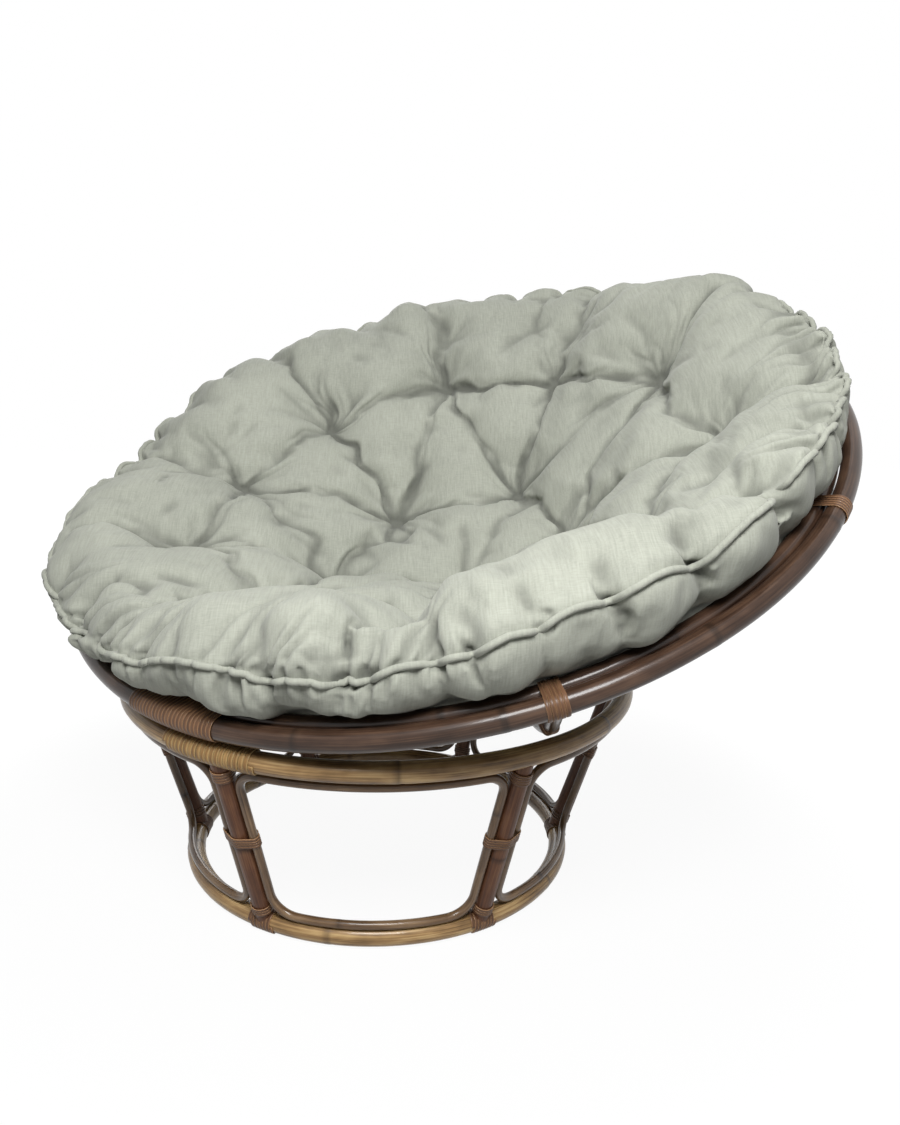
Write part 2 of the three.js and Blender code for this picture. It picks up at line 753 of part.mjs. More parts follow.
const pipingReachAt = (azimuth) => pipingReach - pipingReachSwing * Math.cos(azimuth - wideSide);
const pipingHeightAt = (azimuth) => pipingHeight + pipingHeightSwing * Math.cos(azimuth - tallSide);
const bulgeReachAt = (azimuth) => (
  pipingReachAt(azimuth) + bulgeReach + bulgeSwing * (1 - Math.cos(azimuth - wideSide))
);

function tuftPoint(azimuth, polar) {
  return vector(
    tuftRadius * Math.sin(polar) * Math.cos(azimuth),
    tuftRadius * Math.sin(polar) * Math.sin(azimuth),
    -tuftRadius * Math.cos(polar),
  );
}

const tufts = [];
for (let i = 0; i < innerTufts; i += 1) {
  tufts.push(tuftPoint(tuftTurn + (i * 2 * Math.PI) / innerTufts, innerTuftPolar));
}
for (let i = 0; i < outerTufts; i += 1) {
  tufts.push(tuftPoint(tuftTurn + (i * 2 * Math.PI) / outerTufts, outerTuftPolar));
}

// The seat's surface round the tufts: as far from the bowl's centre as the nearest tuft draws it.
function seatRadius(azimuth, polar) {
  const here = tuftPoint(azimuth, polar);
  const drawn = tufts.reduce((sum, tuft) => sum + Math.exp(-((here.distanceTo(tuft) / tuftReach) ** 2)), 0);
  return lobeRadius + (tuftRadius - lobeRadius) * Math.min(1, drawn);
}

const crestSag = (azimuth) => (crestWave * Math.cos(outerTufts * (azimuth - tuftTurn)));
const slopeShares = [
  { reach: 0.5, rise: 0.52, wave: 0.6 },
  { reach: 0.8, rise: 0.88, wave: 1 },
  { reach: 1, rise: 1, wave: 1 },
];
const shoulderReachShare = 0.72;
const shoulderRiseShare = 0.42;
const seatPolars = [0.45 * innerTuftPolar, innerTuftPolar, (innerTuftPolar + outerTuftPolar) / 2, outerTuftPolar];
const seamTop = (azimuth) => onBowl(
  azimuth,
  pipingReachAt(azimuth) - seamInset,
  pipingHeightAt(azimuth) + seamHalfGap,
);
const seamBottom = (azimuth) => onBowl(
  azimuth,
  pipingReachAt(azimuth) - seamInset,
  pipingHeightAt(azimuth) - seamHalfGap,
);

function seatRings() {
  const rings = seatPolars.map((polar) => azimuths.map((azimuth) => {
    const radius = seatRadius(azimuth, polar);
    return onBowl(azimuth, sphereReach(radius, polar), sphereRise(radius, polar));
  }));
  slopeShares.forEach((share) => {
    rings.push(azimuths.map((azimuth) => {
      const radius = seatRadius(azimuth, outerTuftPolar);
      const fromReach = sphereReach(radius, outerTuftPolar);
      const fromRise = sphereRise(radius, outerTuftPolar);
      return onBowl(
        azimuth,
        fromReach + (crestReach - fromReach) * share.reach,
        fromRise + (crestHeight - fromRise) * share.rise - crestSag(azimuth) * share.wave,
      );
    }));
  });
  rings.push(azimuths.map((azimuth) => {
    const shoulderReach = pipingReachAt(azimuth);
    const shoulderRise = pipingHeightAt(azimuth) + seamShoulderRise;
    return onBowl(
      azimuth,
      crestReach + (shoulderReach - crestReach) * shoulderReachShare,
      crestHeight + (shoulderRise - crestHeight) * shoulderRiseShare,
    );
  }));
  rings.push(azimuths.map((azimuth) => onBowl(
    azimuth,
    pipingReachAt(azimuth) - seamShoulderInset,
    pipingHeightAt(azimuth) + seamShoulderRise,
  )));
  rings.push(azimuths.map(seamTop));
  return rings;
}

function bottomRings() {
  const rings = [0.26, 0.5, 0.72, 0.88, 1].map((share) => azimuths.map((azimuth) => onBowl(
    azimuth,
    sphereReach(cushionRadius, neckPolar * share),
    sphereRise(cushionRadius, neckPolar * share),
  )));
  rings.push(azimuths.map((azimuth) => onBowl(azimuth, neckReach, neckHeight)));
  rings.push(azimuths.map((azimuth) => onBowl(azimuth, innerHoopReach, overRimHeight)));
  rings.push(azimuths.map((azimuth) => onBowl(
    azimuth,
    bulgeReachAt(azimuth) - bulgeReach,
    overRimHeight,
  )));
  rings.push(azimuths.map((azimuth) => onBowl(
    azimuth,
    bulgeReachAt(azimuth),
    (overRimHeight + pipingHeightAt(azimuth)) / 2,
  )));
  rings.push(azimuths.map((azimuth) => onBowl(
    azimuth,
    pipingReachAt(azimuth) - seamShoulderInset,
    pipingHeightAt(azimuth) - seamShoulderRise,
  )));
  rings.push(azimuths.map(seamBottom));
  return rings;
}

// The face between the two panels, a little nearer the seat for the top panel than for the bottom one.
function middleRings(offset) {
  const radius = midRadius + offset;
  return [0.8, 0.45].map((share) => azimuths.map((azimuth) => onBowl(
    azimuth,
    sphereReach(radius, neckPolar * share),
    sphereRise(radius, neckPolar * share),
  )));
}

const axisPoint = (radius) => vector(0, 0, -radius);

addBowlPiece('cushion_top_panel', skin(
  [...seatRings(), ...middleRings(-panelGap / 2)],
  false,
  axisPoint(lobeRadius),
  axisPoint(midRadius - panelGap / 2),
), clothSage, 0.9);
addBowlPiece('cushion_bottom_panel', skin(
  [...bottomRings(), ...middleRings(panelGap / 2)],
  false,
  axisPoint(cushionRadius),
  axisPoint(midRadius + panelGap / 2),
), clothSage, 0.9);
addBowlPiece('cushion_piping', skin(azimuths.map((azimuth) => (
  roundSection(pipingRadius, pipingSides).map(([x, y]) => onBowl(
    azimuth,
    pipingReachAt(azimuth) + x,
    pipingHeightAt(azimuth) + y,
  ))
)), true), clothSage, 0.85);

// The origin is put under the middle of the whole chair, on the floor.
const bounds = new THREE.Box3().setFromObject(group);
const middle = bounds.getCenter(new THREE.Vector3());
group.children.forEach((mesh) => {
  mesh.geometry.translate(-middle.x, -middle.y, 0);
  mesh.geometry.computeVertexNormals();
});

const degrees = (turn) => ((turn * 180) / Math.PI).toFixed(2);
console.log(`base axis at ${(-middle.x).toFixed(3)}, ${(-middle.y).toFixed(3)}`);
console.log(`bowl centre height ${bowlCentreHeight.toFixed(3)}, tilt ${degrees(bowlTilt)} degrees`);

export default group;
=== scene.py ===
import json
import random
from math import acos, asin, atan2, cos, hypot, pi, radians, remainder, sin, sqrt, tan, tau

import bpy
import numpy as np
from mathutils import Matrix, Vector
from mathutils.kdtree import KDTree


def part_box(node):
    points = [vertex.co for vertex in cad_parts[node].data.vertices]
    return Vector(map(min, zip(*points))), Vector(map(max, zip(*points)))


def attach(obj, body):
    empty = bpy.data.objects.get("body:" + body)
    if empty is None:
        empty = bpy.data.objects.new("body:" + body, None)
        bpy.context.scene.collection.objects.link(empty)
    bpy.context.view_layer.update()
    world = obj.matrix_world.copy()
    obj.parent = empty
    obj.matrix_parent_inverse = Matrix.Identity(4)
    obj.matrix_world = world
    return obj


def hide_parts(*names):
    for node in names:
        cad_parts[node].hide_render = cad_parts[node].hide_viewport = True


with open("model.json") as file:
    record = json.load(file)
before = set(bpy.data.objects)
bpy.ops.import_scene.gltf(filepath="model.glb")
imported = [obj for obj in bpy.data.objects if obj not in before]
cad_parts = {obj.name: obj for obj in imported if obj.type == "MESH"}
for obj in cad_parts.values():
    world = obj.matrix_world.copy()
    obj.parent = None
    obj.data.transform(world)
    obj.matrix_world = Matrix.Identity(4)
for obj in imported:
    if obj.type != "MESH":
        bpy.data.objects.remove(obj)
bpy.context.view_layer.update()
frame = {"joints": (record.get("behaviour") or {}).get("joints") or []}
scene = bpy.context.scene
chance = random.Random(27)
draw = chance.uniform
ANY_PHASE = 6.3

# Sizes, in metres, as in the solids
BOTTOM_RING_RADIUS = 0.257
TOP_RING_RADIUS = 0.334
TOP_RING_HEIGHT = 0.254
RING_POLE_RADIUS = 0.0125
LEG_POLE_RADIUS = 0.012
LOOP_POLE_RADIUS = 0.0055
LOOP_TOP_CORNER = 0.022
LOOP_BOTTOM_CORNER = 0.035
LEG_COUNT = 6
LEG_TURN = radians(-1.7)
RIM_RADIUS = 0.550
BOWL_RADIUS = 0.640
OUTER_HOOP_POLE = 0.013
INNER_HOOP_POLE = 0.011
RIB_POLE = 0.008
MIDDLE_HOOP_POLE = 0.008
BOTTOM_HOOP_POLE = 0.007
RIB_COUNT = 8
RIB_TURN = radians(-3)
MIDDLE_HOOP_POLAR = radians(48)
BOTTOM_HOOP_POLAR = radians(15)
FIT_GAP = 0.0003
STRIP = 0.0012
RING_WRAP_REACH = 0.0152
RING_WRAP_CENTRE = radians(-123.5)
RING_WRAP_HALF = radians(11.4)
PATH_STEP = 0.004

# Strips of the bindings: from turn to turn, and width
LEG_STRIP = (0.0036, 0.0033)
FOOT_STRIP = (0.0038, 0.0035)
FOOT_RING_STRIP = (0.0044, 0.0041)
RING_SPLICE_STRIP = (0.0061, 0.0056)
RIM_SPLICE_STRIP = (0.0056, 0.0052)
RIM_STRIP = (0.0046, 0.0043)
CROSSING_STRIP = (0.0040, 0.0037)

# Places, read from the frame
ring_low, ring_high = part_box("base_bottom_ring")
BASE = Vector(((ring_low.x + ring_high.x) / 2, (ring_low.y + ring_high.y) / 2, 0))
joints = {joint["name"]: joint for joint in frame["joints"]}
CENTRE = np.array(joints["bowl_tilt"]["pos_m"])
SEAT_AXIS = np.array(joints["cushion_lift"]["axis"])
SIDE_AXIS = np.array(joints["bowl_tilt"]["axis"])
LOW_AXIS = np.cross(SIDE_AXIS, SEAT_AXIS)
RIM_DEPTH = sqrt(BOWL_RADIUS**2 - RIM_RADIUS**2)
RIM_POLAR = asin(RIM_RADIUS / BOWL_RADIUS)
BOTTOM_RING_HEIGHT = ring_high.z / 2


def offset_by(origin, lengths, axes):
    """Points at given lengths along three axes from an origin."""
    for length, axis in zip(lengths, axes):
        origin = origin + np.multiply.outer(length, axis)
    return origin


def on_bowl(azimuth, reach, rise):
    """Points of the bowl from azimuth, reach from the seat axis and rise above the rim's plane."""
    lengths = (reach * np.cos(azimuth), reach * np.sin(azimuth), rise - RIM_DEPTH)
    return offset_by(CENTRE, lengths, (LOW_AXIS, SIDE_AXIS, SEAT_AXIS))


def on_base(azimuth, reach, height):
    """Points round the base's own axis."""
    return offset_by(np.array(BASE), (reach * np.cos(azimuth), reach * np.sin(azimuth), height), np.eye(3))


# Lines and meshes
def unit(v):
    return v / np.maximum(np.linalg.norm(v, axis=-1, keepdims=True), 1e-12)


def bell(away, width, power=2):
    """1 at no distance, and soon 0 beyond the width."""
    return np.exp(-((away / width) ** power))


def run_of(line):
    """Length from the start of each line to each of its points."""
    steps = np.linalg.norm(np.diff(line, axis=-2), axis=-1)
    return np.concatenate([np.zeros_like(steps[..., :1]), np.cumsum(steps, axis=-1)], axis=-1)


def at_runs(wanted, run, values):
    """Values along a line at the wanted lengths from its start."""
    return np.stack([np.interp(wanted, run, column) for column in values.T], axis=-1)


def from_segment(x, y, a, b):
    """Distance of points from a flat segment, the share of the way along it, and whether left of it."""
    way = b - a
    off_x = x - a[0]
    off_y = y - a[1]
    share = np.clip((off_x * way[0] + off_y * way[1]) / float(way @ way), 0, 1)
    off_x = off_x - share * way[0]
    off_y = off_y - share * way[1]
    return np.hypot(off_x, off_y), share, way[0] * off_y - way[1] * off_x > 0


def from_line(x, y, line):
    """The same for a bent line."""
    nearest = np.full(x.shape, np.inf)
    share = np.zeros(x.shape)
    left = np.zeros(x.shape, bool)
    for k in range(len(line) - 1):
        away, held, side = from_segment(x, y, line[k], line[k + 1])
        closer = away < nearest
        nearest = np.where(closer, away, nearest)
        share = np.where(closer, (k + held) / (len(line) - 1), share)
        left = np.where(closer, side, left)
    return nearest, share, left


def read_all(items, key, width=3):
    """One value of every item, as rows of the given width."""
    values = np.zeros(len(items) * width, np.float32)
    items.foreach_get(key, values)
    return values.reshape(-1, width).astype(float)


def write_all(items, key, values):
    items.foreach_set(key, np.asarray(values, np.float32).ravel())


def mark(mesh, name, kind, key, values):
    """Stores a value for every vertex under a name."""
    write_all(mesh.attributes.new(name, kind, "POINT").data, key, values)


def shade_smooth(mesh):
    mesh.polygons.foreach_set("use_smooth", [True] * len(mesh.polygons))


def make_object(name, points, faces, uvs=None, band=None):
    mesh = bpy.data.meshes.new(name)
    mesh.from_pydata([tuple(p) for p in points], [], [tuple(f) for f in faces])
    if uvs is not None:
        write_all(mesh.uv_layers.new(name="along").data, "uv", uvs)
        mark(mesh, "band", "FLOAT", "value", band)
    shade_smooth(mesh)
    mesh.validate()
    mesh.update()
    made = bpy.data.objects.new(name.replace(" ", "_"), mesh)
    scene.collection.objects.link(made)
    return made


def tube(name, replaced, kind, rings, lengths, closed, girth, band):
    """A skin over rings of points, with length along and distance around as its UVs."""
    body, slot, look = kind
    count, sides = rings.shape[:2]
    faces = []
    uvs = []
    for i in range(count if closed else count - 1):
        k = (i + 1) % count
        u0, u1 = lengths[i], lengths[i + 1]
        for j in range(sides):
            m = (j + 1) % sides
            faces.append((i * sides + j, i * sides + m, k * sides + m, k * sides + j))
            v0, v1 = girth * j / sides, girth * (j + 1) / sides
            uvs.extend([(u0, v0), (u0, v1), (u1, v1), (u1, v0)])
    if not closed:
        last = (count - 1) * sides
        faces.append(tuple(range(sides - 1, -1, -1)))
        faces.append(tuple(range(last, last + sides)))
        uvs.extend([(0, 0)] * 2 * sides)
    made = make_object(name, rings.reshape(-1, 3), faces, uvs, band)
    made.data.materials.append(look)
    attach(made, body)
    if replaced:
        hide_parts(replaced)
    return made


# The ringed joints of a pole, as shares of its radius and lengths along it
JOINT_SWELL = 0.022
JOINT_SWELL_REACH = 0.0060
JOINT_GROOVE = 0.030
JOINT_GROOVE_OFF = 0.0045
JOINT_GROOVE_REACH = 0.0016
JOINT_BAND_REACH = 0.0035
JOINT_FREE_END = 0.05
WAVE = 0.006
END_ROUNDING = 0.002
END_SHARE = 0.90


def pole(name, replaced, kind, path, normal, radius, closed=False, sides=18, apart=0.24, round_end=True):
    """A rattan pole along a path, with its own slight swellings and ringed joints."""
    if closed:
        heading = unit(np.roll(path, -1, axis=0) - np.roll(path, 1, axis=0))
    else:
        heading = unit(np.gradient(path, axis=0))
    up = unit(normal - (normal * heading).sum(-1, keepdims=True) * heading)
    side = np.cross(heading, up)
    lengths = run_of(np.concatenate([path, path[:1]]) if closed else path)
    run = lengths[: len(path)]
    total = lengths[-1]
    scale = np.ones(len(path))
    band = np.zeros(len(path))
    at = apart * draw(0.3, 0.8)
    while at < total - JOINT_FREE_END:
        away = run - at
        scale += JOINT_SWELL * bell(away, JOINT_SWELL_REACH)
        scale -= JOINT_GROOVE * bell(away - JOINT_GROOVE_OFF, JOINT_GROOVE_REACH)
        band += bell(away, JOINT_BAND_REACH) * draw(0.5, 1.0)
        at += apart * draw(0.7, 1.35)
    for _ in range(3):
        length = draw(0.15, 0.5)
        periods = max(1, round(total / length))
        scale += WAVE * np.sin(tau * periods * run / total + draw(0, ANY_PHASE))
    scale -= scale.max() - 1.0
    if not closed and round_end:
        rounding = np.clip(np.minimum(run, total - run) / END_ROUNDING, 0, 1)
        scale *= END_SHARE + (1 - END_SHARE) * np.sqrt(1 - (1 - rounding) ** 2)
    turns = np.arange(sides) * tau / sides
    outward = np.cos(turns)[:, None] * up[:, None, :] + np.sin(turns)[:, None] * side[:, None, :]
    rings = path[:, None, :] + (radius * scale)[:, None, None] * outward
    return tube(name, replaced, kind, rings, lengths, closed, tau * radius, np.repeat(band, sides))


def hoop(name, replaced, kind, ring, first, radius, sides=18):
    """A closed pole round an axis, on a ring given by its frame of points, reach and rise."""
    spot_of, reach, rise = ring
    count = int(tau * reach / PATH_STEP)
    azimuth = first + np.arange(count) * tau / count
    outward = spot_of(azimuth, 1.0, 0.0) - spot_of(azimuth, 0.0, 0.0)
    path = spot_of(azimuth, reach, rise)
    return pole(name, replaced, kind, path, outward, radius, closed=True, sides=sides)


def around(ring, centre):
    """Maps (outward, up, along) offsets from a spot of a ring to points."""
    spot_of, reach, rise = ring
    return lambda x, y, along: spot_of(centre + along / reach, reach + x, rise + y)


def straight(origin, across, away, along):
    """Maps (across, away, along) offsets from an origin to points."""
    return lambda *offsets: offset_by(origin, offsets, (across, away, along))


CORNER_STEPS = 12
LOOP_CORNER_STEPS = 14


def taut_outline(poles, clearance, steps):
    """The taut outline round a row of (x, y, radius), sampled evenly, as points and outward directions."""
    turns = []
    for i, (x, y, radius) in enumerate(poles):
        next_x, next_y, next_radius = poles[(i + 1) % len(poles)]
        heading = atan2(next_y - y, next_x - x)
        turns.append(heading - acos((radius - next_radius) / hypot(next_x - x, next_y - y)))
    outline = []
    outward = []
    for i, (x, y, radius) in enumerate(poles):
        reach = radius + clearance
        sweep = (turns[i] - turns[i - 1]) % tau
        for k in range(CORNER_STEPS + 1):
            turn = turns[i - 1] + sweep * k / CORNER_STEPS
            outline.append((x + reach * cos(turn), y + reach * sin(turn)))
            outward.append((cos(turn), sin(turn)))
    outline = np.array(outline + outline[:1])
    outward = np.array(outward + outward[:1])
    run = run_of(outline)
    wanted = np.arange(steps) * run[-1] / steps
    return at_runs(wanted, run, outline), unit(at_runs(wanted, run, outward))


def round_outline(radius, clearance, steps):
    turns = np.arange(steps) * tau / steps
    outward = np.stack([np.cos(turns), np.sin(turns)], axis=-1)
    return outward * (radius + clearance), outward


# A strip's section, in half widths and thicknesses, and how much of the painted edge highlight each line of
# it has
STRIP_SECTION = [(-1, 0), (-0.97, 0.60), (-0.72, 0.92), (0, 1), (0.72, 0.92), (0.97, 0.60), (1, 0)]
STRIP_EDGE_HIGHLIGHT = [1.0, 0.8, 0.15, 0.0, 0.15, 0.8, 1.0]
STRIP_DRIFT = 0.05


def wound_strip(name, replaced, kind, outline, turns, strip, place, middle=0.0):
    """One flat strip wound round an outline about a middle, with the small unevenness of hand work."""
    points, outward = outline
    pitch, width = strip
    steps = len(points)
    total = turns * steps + 1
    index = np.arange(total) % steps
    knots = np.array([draw(-1, 1) for _ in range(turns * 2 + 2)])
    drift = np.interp(np.arange(total) / steps * 2, np.arange(len(knots)), knots) * STRIP_DRIFT * width
    along = middle - turns * pitch / 2 + pitch * np.arange(total) / steps + drift
    lines = []
    for offset, lift in STRIP_SECTION:
        spot = points[index] + outward[index] * lift * STRIP
        lines.append(place(spot[:, 0], spot[:, 1], along + offset * width / 2))
    rings = np.stack(lines, axis=1)
    lengths = run_of(lines[len(lines) // 2])
    # The strip's edges carry a painted highlight
    return tube(name, replaced, kind, rings, lengths, False, width * 2, np.tile(STRIP_EDGE_HIGHLIGHT, total))


# Looks
def fill_in(made, **values):
    """Sets a node's settings and sockets by name, with _ for a space."""
    for key, value in values.items():
        if hasattr(made, key):
            setattr(made, key, value)
        else:
            made.inputs[key.replace("_", " ")].default_value = value
    return made


def node(tree, kind, **values):
    return fill_in(tree.nodes.new("ShaderNode" + kind), **values)


def wire(a, a_socket, b, b_socket):
    a.id_data.links.new(a.outputs[a_socket], b.inputs[b_socket])


def ramp(tree, stops):
    made = node(tree, "ValToRGB")
    elements = made.color_ramp.elements
    while len(elements) < len(stops):
        elements.new(0.5)
    for element, (position, colour) in zip(elements, stops):
        element.position = position
        element.color = (*colour, 1)
    return made


def new_material(name):
    material = bpy.data.materials.new(name)
    material.use_nodes = True
    tree = material.node_tree
    shader = tree.nodes["Principled BSDF"]
    return material, tree, shader


def noise(tree, source, socket, stretch, detail, roughness):
    """Noise on a source's coordinates, with a scale for each axis."""
    scale = node(tree, "Mapping", Scale=stretch)
    made = node(tree, "TexNoise", Scale=1.0, Detail=detail, Roughness=roughness)
    wire(source, socket, scale, "Vector")
    wire(scale, "Vector", made, "Vector")
    return made


def mix_values(tree, a, a_socket, b, b_socket, share):
    """Two values mixed, with a fixed share of the second."""
    made = node(tree, "Mix", data_type="FLOAT")
    made.inputs[0].default_value = share
    wire(a, a_socket, made, 2)
    wire(b, b_socket, made, 3)
    return made


def set_colour(tree, shader, tone, stops, mark_name, mark_colour):
    """Base colour by tone, turned to another colour where the mesh is marked."""
    colour = ramp(tree, stops)
    marked = node(tree, "Attribute", attribute_name=mark_name)
    turned = node(tree, "Mix", data_type="RGBA")
    turned.inputs[7].default_value = (*mark_colour, 1)
    wire(tone, 0, colour, "Fac")
    wire(marked, "Fac", turned, 0)
    wire(colour, "Color", turned, 6)
    wire(turned, 2, shader, "Base Color")


def set_bump(tree, shader, height, strength, distance):
    bump = node(tree, "Bump", Strength=strength, Distance=distance)
    wire(height, 0, bump, "Height")
    wire(bump, "Normal", shader, "Normal")


def rattan_material(name, dark, middle, light, joint_and_edge_highlight_colour, roughness, coat):
    """Fine streaks along the grain and broad patches, with another colour at a pole's joints, and a painted
    highlight at a strip's edges.
    """
    material, tree, shader = new_material(name)
    uv = node(tree, "UVMap", uv_map="along")
    streak = noise(tree, uv, "UV", (9, 420, 1), 4.0, 0.6)
    patch = noise(tree, uv, "UV", (14, 30, 1), 3.0, 0.55)
    tone = mix_values(tree, streak, "Fac", patch, "Fac", 0.5)
    set_colour(tree, shader, tone, [(0.34, dark), (0.5, middle), (0.68, light)], "band", joint_and_edge_highlight_colour)
    rough = node(tree, "MapRange", To_Min=roughness - 0.06, To_Max=roughness + 0.14)
    wire(patch, "Fac", rough, "Value")
    wire(rough, "Result", shader, "Roughness")
    fill_in(shader, Coat_Weight=coat, Coat_Roughness=0.12, Specular_IOR_Level=0.2)
    set_bump(tree, shader, streak, 0.16, 0.0008)
    return material


def cloth_material(name, shade, light):
    """Slubs along the threads, a finer weft and broad clouds, with painted shade in the hollows and
    creases.
    """
    material, tree, shader = new_material(name)
    place = node(tree, "TexCoord")
    slub = noise(tree, place, "Object", (520, 30, 60), 2.0, 0.6)
    weft = noise(tree, place, "Object", (60, 700, 700), 1.0, 0.5)
    cloud = noise(tree, place, "Object", (7, 7, 7), 3.0, 0.5)
    weave = mix_values(tree, slub, "Fac", weft, "Fac", 0.35)
    tone = mix_values(tree, weave, 0, cloud, "Fac", 0.35)
    # Painted shade: a darker colour where the mesh is marked as lying in a hollow or crease
    painted_hollow_shade = [0.42 * part for part in shade]
    set_colour(tree, shader, tone, [(0.32, shade), (0.68, light)], "painted_crease_shade", painted_hollow_shade)
    fill_in(shader, Roughness=0.92, Specular_IOR_Level=0.15, Sheen_Weight=0.12, Sheen_Roughness=0.6)
    set_bump(tree, shader, weave, 0.35, 0.0006)
    return material


# Dark, middle and light of the grain, the colour of a pole's joints or the painted highlight on a strip's
# edges, roughness and coat
rim_look = rattan_material(
    "rim rattan", (0.016, 0.008, 0.005), (0.044, 0.023, 0.014), (0.095, 0.054, 0.033),
    (0.010, 0.006, 0.004), 0.30, 0.3,
)
base_look = rattan_material(
    "base rattan", (0.055, 0.028, 0.011), (0.295, 0.178, 0.074), (0.580, 0.410, 0.195),
    (0.032, 0.016, 0.008), 0.34, 0.25,
)
loop_look = rattan_material(
    "loop rattan", (0.034, 0.018, 0.009), (0.125, 0.072, 0.036), (0.265, 0.175, 0.095),
    (0.023, 0.012, 0.007), 0.28, 0.35,
)
leg_look = rattan_material(
    "leg rattan", (0.034, 0.012, 0.006), (0.110, 0.045, 0.021), (0.215, 0.105, 0.048),
    (0.022, 0.009, 0.005), 0.42, 0.08,
)
# For the bindings the fourth colour is a painted highlight along the edges of the strips
dark_binding_look = rattan_material(
    "dark binding", (0.040, 0.019, 0.010), (0.098, 0.047, 0.025), (0.180, 0.096, 0.050),
    (0.36, 0.21, 0.11), 0.38, 0.1,
)
tan_binding_look = rattan_material(
    "tan binding", (0.080, 0.036, 0.012), (0.205, 0.112, 0.039), (0.360, 0.225, 0.088),
    (0.50, 0.35, 0.16), 0.40, 0.1,
)
cloth_look = cloth_material("sage cloth", (0.255, 0.265, 0.225), (0.375, 0.387, 0.33))

# Body, slot and look of each kind of piece
RING_KIND = ("base", "base_rattan", base_look)
LOOP_KIND = ("base", "base_rattan", loop_look)
LEG_KIND = ("base", "base_rattan", leg_look)
BASE_BINDING = ("base", "tan_binding", dark_binding_look)
RING_SPLICE = ("base", "tan_binding", tan_binding_look)
BOWL_KIND = ("bowl", "rim_rattan", rim_look)
BOWL_BINDING = ("bowl", "dark_binding", dark_binding_look)
PIPING_KIND = ("cushion", "cushion_cloth", cloth_look)

# Base
BOTTOM_RING = (on_base, BOTTOM_RING_RADIUS, BOTTOM_RING_HEIGHT)
TOP_RING = (on_base, TOP_RING_RADIUS, TOP_RING_HEIGHT)


def rest_on_floor(made):
    for corner in made.data.vertices:
        corner.co.z = max(corner.co.z, 0.0)


rest_on_floor(hoop("bottom ring", "base_bottom_ring", RING_KIND, BOTTOM_RING, LEG_TURN, RING_POLE_RADIUS))
hoop("top ring", "base_top_ring", RING_KIND, TOP_RING, LEG_TURN, RING_POLE_RADIUS)

CONE_RUN = hypot(TOP_RING_RADIUS - BOTTOM_RING_RADIUS, TOP_RING_HEIGHT - BOTTOM_RING_HEIGHT)
CONE_OUT = (TOP_RING_RADIUS - BOTTOM_RING_RADIUS) / CONE_RUN
CONE_UP = (TOP_RING_HEIGHT - BOTTOM_RING_HEIGHT) / CONE_RUN


def leg_place(index):
    """Azimuth and outward face of a leg, and the map of (across, outward, slant) offsets from its foot."""
    azimuth = LEG_TURN + index * tau / LEG_COUNT
    outward = np.array([cos(azimuth), sin(azimuth), 0])
    across = np.array([-sin(azimuth), cos(azimuth), 0])
    along = outward * CONE_OUT + np.array([0, 0, CONE_UP])
    face = outward * CONE_UP - np.array([0, 0, CONE_OUT])
    foot = np.array(BASE) + outward * BOTTOM_RING_RADIUS + np.array([0, 0, BOTTOM_RING_HEIGHT])
    return azimuth, face, straight(foot, across, face, along)


LOOP_OFFSET = LEG_POLE_RADIUS + LOOP_POLE_RADIUS + FIT_GAP
LOOP_LOW = RING_POLE_RADIUS + LOOP_POLE_RADIUS + FIT_GAP
LOOP_HIGH = CONE_RUN - RING_WRAP_REACH - LOOP_POLE_RADIUS - FIT_GAP


def reach_at(slant):
    return BOTTOM_RING_RADIUS + CONE_OUT * slant


def half_bay(slant):
    return pi / LEG_COUNT * reach_at(slant) - LOOP_OFFSET


def rounded_outline(corners, radii):
    """A closed outline through corners with rounded turns, sampled evenly."""
    outline = []
    for i, corner in enumerate(corners):
        before = unit(corners[i - 1] - corner)
        after = unit(corners[(i + 1) % len(corners)] - corner)
        half = acos(float(before @ after)) / 2
        centre = corner + unit(before + after) * radii[i] / sin(half)
        start = corner + before * radii[i] / tan(half) - centre
        for k in range(LOOP_CORNER_STEPS + 1):
            turn = (pi - 2 * half) * k / LOOP_CORNER_STEPS
            c, s = cos(turn), sin(turn)
            spot = np.array([start[0] * c - start[1] * s, start[0] * s + start[1] * c])
            outline.append(centre + spot)
    outline = np.array(outline + outline[:1])
    run = run_of(outline)
    count = int(run[-1] / PATH_STEP)
    return at_runs(np.arange(count) * run[-1] / count, run, outline)


low, high = half_bay(LOOP_LOW), half_bay(LOOP_HIGH)
corners = np.array([(low, LOOP_LOW), (high, LOOP_HIGH), (-high, LOOP_HIGH), (-low, LOOP_LOW)])
radii = [LOOP_BOTTOM_CORNER, LOOP_TOP_CORNER, LOOP_TOP_CORNER, LOOP_BOTTOM_CORNER]
loop_across, loop_slant = rounded_outline(corners, radii).T
loop_reach = reach_at(loop_slant)

for i in range(LEG_COUNT):
    azimuth = LEG_TURN + (i + 0.5) * tau / LEG_COUNT + loop_across / loop_reach
    path = on_base(azimuth, loop_reach, BOTTOM_RING_HEIGHT + CONE_UP * loop_slant)
    down = np.full(len(azimuth), -CONE_OUT)
    face = np.stack([CONE_UP * np.cos(azimuth), CONE_UP * np.sin(azimuth), down], axis=-1)
    name = f"loop {i + 1}"
    pole(name, f"base_loop_{i + 1}", LOOP_KIND, path, face, LOOP_POLE_RADIUS, closed=True, sides=12)

